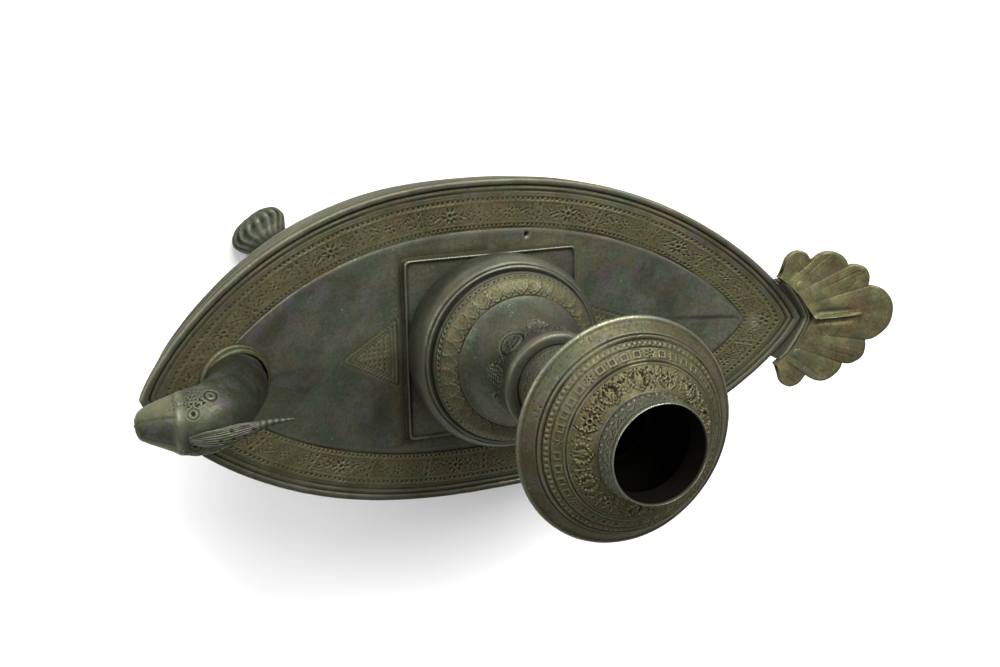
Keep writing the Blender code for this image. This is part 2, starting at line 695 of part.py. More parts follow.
def make_foot(name, sign_x, sign_y, hull, hull_space, ground):
    """A fluted foot that leans out from the hull, flat below, and the rivet that holds it."""
    mount, normal = hull_point(sign_x * FOOT_X, sign_y * FOOT_Y)
    start = world(*mount)
    toe = Vector((sign_x * FOOT_TOE_X + DECK_MIDDLE_X, sign_y * FOOT_TOE_Y, 0.45 * FOOT_TOE_RADIUS))
    outward = Vector((toe.x - start.x, toe.y - start.y, 0)).normalized()
    side = Vector((-outward.y, outward.x, 0))
    path = [start - normal * 3 * MM, start + normal * 3 * MM]
    path += [start.lerp(toe, 0.45) - Vector((0, 0, 2 * MM)), start.lerp(toe, 0.75), toe]
    path += [toe + outward * 3.5 * MM - Vector((0, 0, 1.6 * MM))]
    path += [toe + outward * 5.5 * MM - Vector((0, 0, 3.4 * MM))]
    widths = [6.5, 6, 6, 9.4, 12, 10.8, 7.5]
    depths = [6.5, 6, 5.5, 7.4, 9.2, 8.4, 6]
    tilts = [10, 10, 25, 45, 60, 70, 78]
    ripples = [0, 0, 0.04, 0.11, 0.15, 0.17, 0.18]
    sections = []
    for centre, width, depth, tilt, ripple in zip(path, widths, depths, tilts, ripples):
        lean = math.radians(tilt)
        up = outward * math.cos(lean) + Vector((0, 0, math.sin(lean)))
        sections.append(fluted_ring(centre, side, up, width * MM, depth * MM, ripple, 36))
    bm = bmesh.new()
    loft(bm, sections)
    foot = add_object(name, bm, PALE, 0.5)
    cut(foot, hull_space)
    cut(foot, ground)

    turn = Vector((0, 0, 1)).rotation_difference(-normal).to_matrix().to_4x4()
    place = Matrix.Translation(start) @ turn
    head_low = HULL_WALL + 1.5 * MM
    shank_end = -5 * MM
    hole = add_object(name + "_hole",
                      cylinder_bmesh(RIVET_RADIUS + RIVET_CLEARANCE, shank_end - GAP,
                                     head_low + 2 * MM, TINY_ROUND, place))
    cut(hull, hole)
    cut(foot, hole)
    rivet = [(0, shank_end), (RIVET_RADIUS, shank_end), (RIVET_RADIUS, head_low)]
    rivet += [(3 * MM, head_low), (2.4 * MM, head_low + 1 * MM), (0, head_low + 1.3 * MM)]
    solid_turned(name.replace("foot", "foot_rivet"), rivet, place, OLIVE)


# ---------------------------------------------------------------- the lamp

def main():
    for old in list(bpy.data.objects):
        bpy.data.objects.remove(old)
    hull = make_hull()
    make_rim()
    deck = add_object("deck_plate", deck_sheet(0, DECK_THICKNESS), OLIVE, 0.5)
    deck_space = add_object("deck_space", deck_sheet(GAP, 10 * MM))
    plinth = make_plinth(deck_space)
    place = Matrix.Translation((NECK_X, 0, DECK_LEVEL))
    well = add_object("well_cutter",
                      cylinder_bmesh(WELL_RADIUS, -10 * MM, 10 * MM, ROUND, place))
    cut(deck, well)
    cut(plinth, well)
    make_dome_and_neck()
    tenon = add_object("tenon_cutter",
                        cylinder_bmesh(BIRD_TENON_RADIUS + RIVET_CLEARANCE, -6 * MM, 5 * MM,
                                      OVAL_ROUND, bird_frame()))
    cut(deck, tenon)
    make_bird(deck_space)
    make_tail()
    make_feet(hull)


main()
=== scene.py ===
"""Looks for the boat-shaped bronze oil lamp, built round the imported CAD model.

Each visible CAD node is replaced by a finer mesh of the same size, with its engraving, beads, leaves,
veins and casting marks as real relief. Shapes are worked out in millimetres from the middle of the deck,
+X towards the palmette, +Y across the boat, +Z up, and are moved into the CAD frame as they are added.
"""

import math

import bpy
import numpy as np
from mathutils import Matrix, Vector


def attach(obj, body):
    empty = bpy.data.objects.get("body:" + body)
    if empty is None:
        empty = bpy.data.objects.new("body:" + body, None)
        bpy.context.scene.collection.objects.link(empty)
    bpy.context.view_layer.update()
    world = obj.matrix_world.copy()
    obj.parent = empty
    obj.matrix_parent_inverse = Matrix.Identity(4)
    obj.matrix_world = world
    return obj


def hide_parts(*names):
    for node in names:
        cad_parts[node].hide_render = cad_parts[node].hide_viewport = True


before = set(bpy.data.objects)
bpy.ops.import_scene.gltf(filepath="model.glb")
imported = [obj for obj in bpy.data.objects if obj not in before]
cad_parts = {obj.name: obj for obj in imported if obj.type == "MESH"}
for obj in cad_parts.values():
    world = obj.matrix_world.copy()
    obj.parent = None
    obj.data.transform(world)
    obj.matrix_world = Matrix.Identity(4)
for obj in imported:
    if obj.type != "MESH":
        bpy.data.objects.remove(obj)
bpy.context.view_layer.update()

MM = 0.001
GAP = 0.3

# The deck's middle in the CAD frame, and the sizes shared with the CAD model, in millimetres
MIDDLE_X = -18.25
LEVEL = 68.0
NECK_X = 3.0
LEAF_LENGTH, LEAF_WIDTH = 130.0, 62.0      # half sizes of the deck's outline
LEAF_POWER, LEAF_TIP_POWER = 2.3, 0.8
FIELD_LENGTH, FIELD_WIDTH = 107.0, 43.0    # half sizes of the plain field
SHEER = 22.4
RIDGE = 1.6
DECK_SHEET = 2.0
RIM_DEPTH = 3.0
HULL_INSET = 0.9                           # hull's outline inside the deck's
HULL_KEEL = 56.0
HULL_KEEL_POWER = 2.4
HULL_FULLNESS = 2.6
TAIL_LEVEL = 25
TAIL_SLOPE = 0.1
TAIL_RIVET_X, TAIL_RIVET_Y = 127, 14
PLINTH_HALF = 35.2
PLINTH_BORE = 22.0

FULL_RELIEF = 0.12   # mm above or below its neighbours at which a point counts as all edge or all hollow
WEAR = 0.42          # how rubbed a full edge is

rng = np.random.default_rng(11)


# ---------------------------------------------------------------- meshes from grids of points

def grid_quads(rows, columns, close_rows):
    """Corner indices of the quads of a grid whose columns wrap round."""
    r = np.arange(rows if close_rows else rows - 1)[:, None]
    c = np.arange(columns)[None, :]
    below = (r + 1) % rows
    right = (c + 1) % columns
    corners = [r * columns + c, r * columns + right, below * columns + right, below * columns + c]
    return np.stack([np.broadcast_to(k, (len(r), columns)) for k in corners], axis=-1).reshape(-1, 4)


def weld(points, quads):
    """Joins points that coincide, and drops the corners of quads that have closed up."""
    keys = np.round(points / 1e-4).astype(np.int64)
    _, first, index = np.unique(keys, axis=0, return_index=True, return_inverse=True)
    quads = index.reshape(-1)[quads]
    whole = np.ones(len(quads), bool)
    for i in range(4):
        for j in range(i + 1, 4):
            whole &= quads[:, i] != quads[:, j]
    faces = quads[whole].tolist()
    for quad in quads[~whole].tolist():
        face = list(dict.fromkeys(quad))
        if len(face) == 3:
            faces.append(face)
    return first, faces


def signed_volume(points, quads):
    a, b, c, d = (points[quads[:, k]] for k in range(4))
    first = np.einsum("ij,ij->i", a, np.cross(b, c))
    second = np.einsum("ij,ij->i", a, np.cross(c, d))
    return (first + second).sum() / 6


def hollows(grid, sign, step, close_rows):
    """How far each point of a grid lies below (+) or above (-) the mean of its neighbours, in mm."""
    def moved(amount, axis):
        shifted = np.roll(grid, amount, axis=axis)
        if axis == 0 and not close_rows:
            edge = slice(0, amount) if amount > 0 else slice(amount, None)
            shifted[edge] = grid[edge]
        return shifted
    along = moved(-1, 1) - moved(1, 1)
    across = moved(-1, 0) - moved(1, 0)
    normal = np.cross(along, across) * sign
    normal /= np.linalg.norm(normal, axis=-1, keepdims=True) + 1e-9
    mean = (moved(step, 0) + moved(-step, 0) + moved(step, 1) + moved(-step, 1)) / 4
    return ((mean - grid) * normal).sum(axis=-1)


def add_object(name, data):
    thing = bpy.data.objects.new(name, data)
    bpy.context.scene.collection.objects.link(thing)
    return thing


def cap(row):
    """A row of points all moved to their middle, which closes an end of a swept piece."""
    return np.repeat(row.mean(axis=1, keepdims=True), row.shape[1], axis=1)


def start_capped(grid):
    """A swept piece closed where it starts. Its far end stays open."""
    return np.concatenate([cap(grid[:1]), grid])


def first_rows(grid, rows, values):
    """One value for each point of a grid: the given ones on its first rows, 0 on the rest."""
    full = np.zeros(grid.shape[:2])
    full[:rows] = values
    return full


def add_grid(name, grid, nodes, material, close_rows=True, dense=None, warm=None, soot_and_shade=None,
             polish=None, step=2, sharp=60):
    """A piece from a grid of points (rows, columns, 3) in mm, which stands for CAD nodes."""
    rows, columns, _ = grid.shape
    points = grid.reshape(-1, 3)
    quads = grid_quads(rows, columns, close_rows)
    sign = 1
    if signed_volume(points - points.mean(axis=0), quads) < 0:
        quads = quads[:, ::-1]
        sign = -1
    dense = rows if dense is None else dense
    hollow = np.zeros((rows, columns))
    hollow[:dense] = hollows(grid[:dense], sign, step, close_rows and dense == rows)
    first, faces = weld(points, quads)
    mesh = bpy.data.meshes.new(name)
    place = (points[first] + np.array([MIDDLE_X, 0, LEVEL])) * MM
    mesh.from_pydata(place.tolist(), [], faces)
    mesh.shade_smooth()
    mesh.set_sharp_from_angle(angle=math.radians(sharp))
    values = {"recess": np.clip(hollow / FULL_RELIEF, 0, 1),
              "wear_and_glint": np.clip(-hollow / FULL_RELIEF, 0, 1) * WEAR}
    # polish adds to the rubbed edges; on the flange rim and the mouth's lip it is also a painted glint
    if polish is not None:
        values["wear_and_glint"] = np.maximum(values["wear_and_glint"], polish)
    values["warm"] = np.zeros((rows, columns)) if warm is None else warm
    values["soot_and_shade"] = np.zeros((rows, columns)) if soot_and_shade is None else soot_and_shade
    for key, value in values.items():
        layer = mesh.attributes.new(key, "FLOAT", "POINT")
        layer.data.foreach_set("value", value.reshape(-1)[first].astype(np.float32))
    mesh.materials.append(material)
    piece = add_object(name, mesh)
    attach(piece, "root")
    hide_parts(*nodes)
    return piece


def rounded(line, rounds=2):
    """A polyline with its corners cut off again and again; its ends stay."""
    line = np.asarray(line, float)
    for _ in range(rounds):
        start = line[:-1] * 0.75 + line[1:] * 0.25
        end = line[:-1] * 0.25 + line[1:] * 0.75
        cut = np.stack([start, end], axis=1).reshape(-1, line.shape[1])
        line = np.concatenate([line[:1], cut[1:-1], line[-1:]])
    return line


def evenly(line, count):
    """A polyline resampled to a number of points, evenly spaced along it."""
    line = np.asarray(line, float)
    steps = np.linalg.norm(np.diff(line, axis=0), axis=1)
    length = np.concatenate([[0], np.cumsum(steps)])
    wanted = np.linspace(0, length[-1], count)
    return np.stack([np.interp(wanted, length, line[:, k]) for k in range(line.shape[1])], axis=1)


def through(stations, count):
    """A Catmull-Rom curve through rows of numbers."""
    stations = np.asarray(stations, float)
    padded = np.concatenate([2 * stations[:1] - stations[1:2], stations,
                             2 * stations[-1:] - stations[-2:-1]])
    at = np.linspace(0, len(stations) - 1, count)
    i = np.minimum(at.astype(int), len(stations) - 2)
    t = (at - i)[:, None]
    a, b, c, d = (padded[i + k] for k in range(4))
    return 0.5 * (2 * b + (c - a) * t + (2 * a - 5 * b + 4 * c - d) * t ** 2
                  + (3 * b - a - 3 * c + d) * t ** 3)


def unevenness(across, length, columns, waves=((26, 0.07), (9, 0.035))):
    """Slightly uneven heights for hand-worked metal, in mm, on a band that wraps round."""
    u = 2 * np.pi * np.arange(columns)[None, :] / columns
    v = np.asarray(across, float)[:, None]
    total = np.zeros((len(v), columns))
    for wavelength, amount in waves:
        most = max(1, int(np.mean(length) / wavelength))
        for _ in range(12):
            total += amount / 3.5 * np.sin(rng.integers(-most, most + 1) * u + rng.uniform(0, 6.3)
                                           + rng.uniform(-1, 1) * 2 * np.pi / wavelength * v)
    return total


# ---------------------------------------------------------------- relief

UNSTEADY = 0.13      # mm a punched mark strays from its place


class Relief:
    """Dents and bumps, in mm, on an unrolled band: columns run along it and wrap, rows cross it."""

    def __init__(self, columns, across, lengths):
        self.columns = columns
        self.across = np.asarray(across, float)
        self.lengths = np.broadcast_to(np.asarray(lengths, float), self.across.shape)
        self.dent = np.zeros((len(self.across), columns))
        self.bump = np.zeros((len(self.across), columns))

    def patch(self, share, across, reach):
        """The rows and columns near a point, and their distances from it in mm."""
        rows = np.nonzero(np.abs(self.across - across) <= reach)[0]
        if not len(rows):
            return None
        half = int(reach / self.lengths[rows].min() * self.columns) + 2
        centre = share * self.columns
        columns = np.arange(int(centre) - half, int(centre) + half + 2)
        x = ((columns - centre) / self.columns)[None, :] * self.lengths[rows][:, None]
        y = (self.across[rows] - across)[:, None]
        return np.ix_(rows, columns % self.columns), x, y

    def press(self, place, shape, depth):
        layer = self.bump if depth > 0 else self.dent
        layer[place] = np.maximum(layer[place], abs(depth) * shape)

    def oval(self, share, across, along_half, across_half, depth, turn=0.0, power=1.0):
        """One oval dent (depth < 0) or bump (depth > 0), set a little off its place by hand."""
        share += rng.normal(0, UNSTEADY) / self.lengths.mean()
        across += rng.normal(0, UNSTEADY)
        depth *= rng.uniform(0.7, 1.15)
        found = self.patch(share, across, max(along_half, across_half))
        if found is None:
            return
        place, x, y = found
        c, s = math.cos(turn), math.sin(turn)
        q = ((x * c + y * s) / along_half) ** 2 + ((y * c - x * s) / across_half) ** 2
        self.press(place, np.clip(1 - q, 0, None) ** power, depth)

    def box(self, share, across, along_half, across_half, depth, soft=0.35):
        """One square-cornered dent or bump with soft sides."""
        found = self.patch(share, across, max(along_half, across_half) + soft)
        if found is None:
            return
        place, x, y = found
        inside = np.minimum(along_half - np.abs(x), across_half - np.abs(y)) / soft
        self.press(place, np.clip(inside + 0.5, 0, 1), depth)

    def ring(self, share, across, radius, half, depth):
        found = self.patch(share, across, radius + half)
        if found is None:
            return
        place, x, y = found
        self.press(place, np.clip(1 - ((np.hypot(x, y) - radius) / half) ** 2, 0, None), depth)

    def line(self, across, half, depth):
        """A line all along the band."""
        shape = np.clip(1 - ((self.across - across) / half) ** 2, 0, None)
        self.press(slice(None), np.repeat(shape[:, None], self.columns, axis=1), depth)

    def stroke(self, share, points, half, depth, thin_ends=True):
        """A curved stroke through (along, across) points in mm, measured from a place on the band."""
        points = evenly(rounded(points), 9)
        length = np.interp(points[:, 1].mean(), self.across, self.lengths)
        for i, (x, y) in enumerate(points):
            swell = math.sin(math.pi * (i + 0.7) / (len(points) + 0.4)) if thin_ends else 1
            size = half * (0.45 + 0.75 * swell)
            self.oval(share + x / length, y, size, size, depth)

    def beads(self, count, across, half, depth, power=0.7):
        """A row of round beads or punched dots all along the band."""
        for i in range(count):
            self.oval((i + 0.5) / count, across, half, half, depth, power=power)

    def heights(self, lost=0.55, patch=13):
        """The relief, rubbed away in patches."""
        rubbed = unevenness(self.across, self.lengths, self.columns, ((patch, 1.0),))
        kept = 1 - lost * np.clip(0.45 + 0.8 * rubbed, 0, 1)
        return (self.bump - self.dent) * kept


def rosette(relief, share, across, size, petals, depth, turn=0.0):
    """A punched flower: a centre dot with drop-shaped dents round it and thin ridges between them."""
    length = np.interp(across, relief.across, relief.lengths)
    relief.oval(share, across, 0.24 * size, 0.24 * size, depth)
    relief.ring(share, across, 0.36 * size, 0.13 * size, -0.55 * depth)
    for k in range(petals):
        angle = turn + 2 * math.pi * k / petals
        x, y = 0.72 * size * math.cos(angle), 0.72 * size * math.sin(angle)
        relief.oval(share + x / length, across + y, 0.34 * size, 0.17 * size, depth, angle)


def leaf_spray(relief, share, across, size, side, depth):
    """A leaning leaf with a raised outline, a centre vein and two drop-shaped dents."""
    flip = 1 if side > 0 else -1
    tip = [(-1.5, -0.55), (-0.6, -0.62), (0.45, -0.25), (1.5, 0.6)]
    back = [(-1.5, -0.55), (-0.9, 0.15), (0.2, 0.5), (1.5, 0.6)]
    vein = [(-1.2, -0.4), (-0.2, 0.0), (1.1, 0.42)]
    for path, half, rise in ((tip, 0.13, -0.5), (back, 0.13, -0.5), (vein, 0.1, 0.9)):
        points = [(flip * x * size, across + y * size) for x, y in path]
        relief.stroke(share, points, half * size, rise * depth)
    length = np.interp(across, relief.across, relief.lengths)
    for x, y in ((-0.45, -0.3), (0.3, 0.22), (-0.75, 0.6), (0.8, -0.35)):
        relief.oval(share + flip * x * size / length, across + y * size, 0.34 * size, 0.14 * size,
                    depth, flip * 0.5)


# ---------------------------------------------------------------- bronze

def grey(value):
    return (value, value, value)


class Nodes:
    """Small helper that adds nodes to a material and links them."""

    def __init__(self, name):
        self.material = bpy.data.materials.new(name)
        self.material.use_nodes = True
        self.tree = self.material.node_tree
        self.shader = self.tree.nodes["Principled BSDF"]
        self.place = self.tree.nodes.new("ShaderNodeTexCoord").outputs["Object"]

    def link(self, source, target):
        self.tree.links.new(source, target)

    def noise(self, scale, detail=4.0, rough=0.6, distortion=0.0, seed=0.0):
        """Noise whose scale is in features per millimetre."""
        node = self.tree.nodes.new("ShaderNodeTexNoise")
        node.noise_dimensions = "4D"
        node.inputs["W"].default_value = seed
        node.inputs["Scale"].default_value = scale * 1000
        node.inputs["Detail"].default_value = detail
        node.inputs["Roughness"].default_value = rough
        node.inputs["Distortion"].default_value = distortion
        self.link(self.place, node.inputs["Vector"])
        return node.outputs["Fac"]

    def cells(self, scale):
        node = self.tree.nodes.new("ShaderNodeTexVoronoi")
        node.inputs["Scale"].default_value = scale * 1000
        self.link(self.place, node.inputs["Vector"])
        return node.outputs["Distance"]

    def attribute(self, name):
        node = self.tree.nodes.new("ShaderNodeAttribute")
        node.attribute_name = name
        return node.outputs["Fac"]

    def curve(self, source, low, high, to_low=0.0, to_high=1.0):
        node = self.tree.nodes.new("ShaderNodeMapRange")
        node.interpolation_type = "SMOOTHSTEP"
        node.inputs["From Min"].default_value = low
        node.inputs["From Max"].default_value = high
        node.inputs["To Min"].default_value = to_low
        node.inputs["To Max"].default_value = to_high
        self.link(source, node.inputs["Value"])
        return node.outputs["Result"]

    def math(self, operation, a, b, clamp=False):
        node = self.tree.nodes.new("ShaderNodeMath")
        node.operation = operation
        node.use_clamp = clamp
        for socket, value in zip(node.inputs, (a, b)):
            if isinstance(value, (int, float)):
                socket.default_value = value
            else:
                self.link(value, socket)
        return node.outputs["Value"]

    def ramp(self, source, stops):
        node = self.tree.nodes.new("ShaderNodeValToRGB")
        elements = node.color_ramp.elements
        while len(elements) < len(stops):
            elements.new(0.5)
        for element, (position, colour) in zip(elements, stops):
            element.position = position
            element.color = (*colour, 1)
        self.link(source, node.inputs["Fac"])
        return node.outputs["Color"]

    def mix(self, amount, a, b):
        node = self.tree.nodes.new("ShaderNodeMix")
        node.data_type = "RGBA"
        for socket, value in ((node.inputs["Factor"], amount), (node.inputs["A"], a),
                              (node.inputs["B"], b)):
            if isinstance(value, (int, float)):
                socket.default_value = value
            elif isinstance(value, tuple):
                socket.default_value = (*value, 1)
            else:
                self.link(value, socket)
        return node.outputs["Result"]

    def bump(self, height, strength, distance, normal=None):
        node = self.tree.nodes.new("ShaderNodeBump")
        node.inputs["Strength"].default_value = strength
        node.inputs["Distance"].default_value = distance * MM
        self.link(height, node.inputs["Height"])
        if normal is not None:
            self.link(normal, node.inputs["Normal"])
        return node.outputs["Normal"]


BRONZE_METALLIC = 0.7
SOOT_AND_SHADE = (0.0035, 0.003, 0.002)
DUST = (0.099, 0.088, 0.032)
# Pale rubbed bronze, also the colour of painted glints
POLISHED_AND_GLINT = (0.200, 0.200, 0.150)
COPPER = (0.081, 0.048, 0.025)
PURPLE = (0.072, 0.062, 0.068)
GREEN = (0.044, 0.069, 0.044)


def bronze(name, tones, dust_level=0.6, copper=0.3, purple=0.4, green=0.4, rough=(0.36, 0.58), pits=0.4):
    """Old bronze: an uneven dark patina, pale rubbed edges with painted glints, olive dust in the engraving,
    copper spots, soot and painted shade.
    """
    n = Nodes(name)
    recess, wear_and_glint, warm, soot_and_shade = (n.attribute(key) for key in ("recess", "wear_and_glint", "warm", "soot_and_shade"))
    broad = n.noise(0.028, 5, 0.62, 0.5)
    patchy = n.noise(0.11, 6, 0.66, 0.8, 7.0)
    cloudy = n.noise(0.055, 5, 0.7, 1.4, 19.0)
    fine = n.noise(0.8, 5, 0.72)
    grain = n.noise(4.0, 3, 0.6)

    deep, middle, light = tones
    colour = n.ramp(broad, [(0.36, deep), (0.5, middle), (0.62, light)])
    colour = n.mix(n.curve(cloudy, 0.48, 0.58, 0, green), colour, GREEN)
    colour = n.mix(n.curve(patchy, 0.50, 0.60, 0, purple), colour, PURPLE)
    dusty = n.math("MULTIPLY", warm, n.curve(patchy, 0.34, 0.6, 0.3, 1.0))
    colour = n.mix(n.math("MULTIPLY", dusty, dust_level), colour, DUST)
    brown = n.noise(0.085, 6, 0.7, 0.9, 31.0)
    spots = n.math("MULTIPLY", n.curve(brown, 0.49, 0.6), n.curve(fine, 0.36, 0.6, 0.4, 1.0), True)
    colour = n.mix(n.math("MULTIPLY", spots, copper), colour, COPPER)
    colour = n.mix(n.curve(fine, 0.4, 0.68, 0.0, 0.5), colour, tuple(0.5 * c for c in deep))
    specks = n.math("MULTIPLY", n.curve(n.cells(0.33), 0.16, 0.05), n.curve(cloudy, 0.5, 0.6), True)
    colour = n.mix(n.math("MULTIPLY", specks, 0.7), colour, tuple(1.9 * c for c in light))
    colour = n.mix(n.math("MULTIPLY", recess, 0.82), colour, tuple(0.3 * c for c in deep))
    # Pale on rubbed edges, and painted glints where a band is given as polish
    rubbed = n.math("MULTIPLY", wear_and_glint, n.curve(fine, 0.3, 0.6, 0.25, 1.0))
    colour = n.mix(n.math("MULTIPLY", rubbed, 0.65), colour, POLISHED_AND_GLINT)
    # Near-black: soot inside the mouth, and painted shade in gaps, under the knop, beside the plinth and down
    # the bird's neck
    colour = n.mix(soot_and_shade, colour, SOOT_AND_SHADE)
    n.link(colour, n.shader.inputs["Base Color"])

    roughness = n.curve(n.mix(0.5, patchy, fine), 0.3, 0.7, rough[0], rough[1])
    roughness = n.math("ADD", roughness, n.math("MULTIPLY", dusty, 0.12))
    roughness = n.math("ADD", roughness, n.math("MULTIPLY", n.math("MAXIMUM", recess, soot_and_shade), 0.3))
    roughness = n.math("SUBTRACT", roughness, n.math("MULTIPLY", rubbed, 0.28), True)
    n.link(roughness, n.shader.inputs["Roughness"])
    n.shader.inputs["Metallic"].default_value = BRONZE_METALLIC
    n.shader.inputs["Specular IOR Level"].default_value = 0.3
    n.shader.inputs["Specular Tint"].default_value = (0.45, 0.45, 0.40, 1)

    pitted = n.curve(n.cells(0.55), 0.0, 0.34)
    pitted = n.mix(n.curve(n.noise(0.22, 3), 0.46, 0.62, 0, pits), grey(1), pitted)
    normal = n.bump(patchy, 0.4, 0.7)
    normal = n.bump(pitted, 0.5, 0.16, normal)
    normal = n.bump(fine, 0.45, 0.14, normal)
    normal = n.bump(grain, 0.3, 0.04, normal)
    n.link(normal, n.shader.inputs["Normal"])
    return n.material


def tones(red, green, blue):
    """A dark, a middle and a light tone of one patina."""
    colour = (red, green, blue)
    return tuple(tuple(k * c for c in colour) for k in (0.62, 1.0, 1.45))


engraved = bronze("engraved_bronze", tones(0.053, 0.052, 0.027), 0.65, 0.5, green=0.3, rough=(0.44, 0.62))
dark = bronze("dark_bronze", tones(0.039, 0.039, 0.022), 0.5, 0.4, rough=(0.46, 0.64))
smooth = bronze("smooth_bronze", tones(0.058, 0.061, 0.042), 0.55, 0.35, purple=0.5, green=0.5,
                rough=(0.38, 0.56), pits=0.25)
pale = bronze("pale_bronze", tones(0.034, 0.038, 0.023), 0.9, 0.2, purple=0.7, rough=(0.42, 0.6), pits=0.6)
foot_metal = bronze("foot_bronze", tones(0.048, 0.052, 0.034), 0.5, 0.2, rough=(0.52, 0.7), pits=0.7)
leaf_metal = bronze("leaf_bronze", tones(0.120, 0.110, 0.052), 0.6, 0.85, rough=(0.5, 0.7))


# ---------------------------------------------------------------- the leaf-shaped deck

def leaf_width(x, length=LEAF_LENGTH, width=LEAF_WIDTH):
    along = np.minimum(1, np.abs(x) / length)
    return width * (1 - along ** LEAF_POWER) ** LEAF_TIP_POWER


def sheer(x):
    return SHEER * (x / LEAF_LENGTH) ** 2


def roof(x, y):
    """The low roof of the field, above the sheer."""
    field = np.maximum(leaf_width(x, FIELD_LENGTH, FIELD_WIDTH), 1e-6)
    return RIDGE * (field / FIELD_WIDTH) * np.clip(1 - np.abs(y) / field, 0, None)


def leaf_turns(count):
    """Turn angles for stations evenly spaced round the leaf, half way out across its border."""
    dense = np.linspace(0, 2 * np.pi, 8001)
    x = np.cos(dense) * (LEAF_LENGTH + FIELD_LENGTH) / 2
    y = np.sign(np.sin(dense)) * (leaf_width(np.cos(dense) * LEAF_LENGTH)
                                  + leaf_width(np.cos(dense) * FIELD_LENGTH, FIELD_LENGTH, FIELD_WIDTH)) / 2
    length = np.concatenate([[0], np.cumsum(np.hypot(np.diff(x), np.diff(y)))])
    return np.interp(np.arange(count) / count * length[-1], length, dense), length[-1]


def leaf_point(turn, share):
    """Points of nested leaves: share 0 is the deck's outline, 1 the field's."""
    half_length = LEAF_LENGTH + (FIELD_LENGTH - LEAF_LENGTH) * share
    outer = leaf_width(np.cos(turn) * LEAF_LENGTH)
    inner = leaf_width(np.cos(turn) * FIELD_LENGTH, FIELD_LENGTH, FIELD_WIDTH)
    x = np.cos(turn) * half_length
    y = np.sign(np.sin(turn)) * (outer + (inner - outer) * share)
    return x, y


BORDER_START = 3.0
BORDER_END = 19.0


def border_relief(columns, rows, length):
    """The engraved border: mouldings, punched rows, and panels of leaves and stars between bars."""
    across = np.linspace(BORDER_START, BORDER_END, rows)
    relief = Relief(columns, across, length * np.linspace(1.06, 0.94, rows))
    relief.line(3.9, 0.4, 0.2)
    relief.line(4.9, 0.45, -0.22)
    relief.line(6.6, 0.35, 0.14)
    dots = int(length / 1.95)
    relief.beads(dots, 7.7, 0.55, -0.42)
    relief.line(8.8, 0.35, 0.14)
    relief.line(16.7, 0.3, 0.12)
    relief.beads(dots, 17.7, 0.55, -0.4)
    relief.line(18.6, 0.32, -0.35)
    panels = 22
    pitch = 1 / panels
    middle = 12.75
    for k in range(panels):
        bar = (k + 0.5) * pitch
        for side in (-1, 1):
            relief.box(bar + side * 1.1 / length, middle, 0.2, 3.6, 0.17, 0.3)
        for up in (-2.5, 0, 2.5):
            relief.oval(bar, middle + up, 0.55, 0.55, -0.42)
        star = bar + 0.5 * pitch
        size = 3.2 if k % 2 else 2.2
        rosette(relief, star, middle, size, 8 if k % 2 else 6, -0.42, 0.2 * k)
        for petal in range(8):
            angle = petal * math.pi / 4 + 0.4
            ray = [(0.3 * size * math.cos(angle), middle + 0.3 * size * math.sin(angle)),
                   (1.05 * size * math.cos(angle), middle + 1.05 * size * math.sin(angle))]
            relief.stroke(star, ray, 0.2, 0.2)
        for side in (-1, 1):
            tilt = 1 if k % 2 else -1
            leaf_spray(relief, star + side * 0.24 * pitch, middle + 0.6 * tilt, 2.1, side * tilt, -0.4)
            leaf_spray(relief, star + side * 0.37 * pitch, middle - 1.3 * tilt, 1.5, -side * tilt, -0.36)
            curl = [(0, middle - 2.6 * tilt), (1.6 * side, middle - 2.9 * tilt),
                    (2.4 * side, middle - 1.5 * tilt), (1.3 * side, middle - 0.9 * tilt)]
            relief.stroke(star + side * 0.13 * pitch, curl, 0.22, 0.2)
            relief.stroke(star + side * 0.30 * pitch, [(x, 2 * middle - y) for x, y in curl], 0.26, -0.34)
            for _ in range(9):
                relief.oval(star + side * rng.uniform(0.1, 0.44) * pitch, middle + rng.uniform(-3.2, 3.2),
                            rng.uniform(0.3, 0.65), rng.uniform(0.25, 0.4), -rng.uniform(0.2, 0.4),
                            rng.uniform(0, 3.1))
    return relief


def make_border():
    columns, rows = 1640, 50
    turns, length = leaf_turns(columns)
    relief = border_relief(columns, rows, length)
    height = relief.heights(0.6, 22) + unevenness(relief.across, length, columns)
    shares = relief.across / BORDER_END
    grid = np.zeros((rows, columns, 3))
    for i, share in enumerate(shares):
        x, y = leaf_point(turns, share)
        grid[i] = np.stack([x, y, sheer(x) + height[i]], axis=-1)
    under = []
    for share in (shares[-1], shares[0]):
        x, y = leaf_point(turns, share)
        under.append(np.stack([x, y, sheer(x) - DECK_SHEET], axis=-1))
    grid = np.concatenate([grid, np.stack(under)])
    band = np.clip(relief.across - 6.6, 0, 1) * np.clip((18.9 - relief.across) / 0.8, 0, 1)
    x, y = grid[:rows, :, 0], grid[:rows, :, 1]
    spot = np.exp(-((x - 111.5) / 2.2) ** 2 - ((y + 1) / 3.2) ** 2)
    warm = first_rows(grid, rows, np.maximum(band[:, None] * 0.7, spot))
    polish = first_rows(grid, rows, 0.7 * spot)
    return add_grid("deck_border", grid, ["deck_plate"], engraved, dense=rows,
                    warm=warm, polish=polish)


def inside_triangle(x, y, base, apex, half):
    """How far a point lies inside a triangle that points along X, roughly in mm."""
    along = (x - base) / (apex - base)
    return np.minimum(half * (1 - along) - np.abs(y), np.abs(x - base)) * (along > 0)


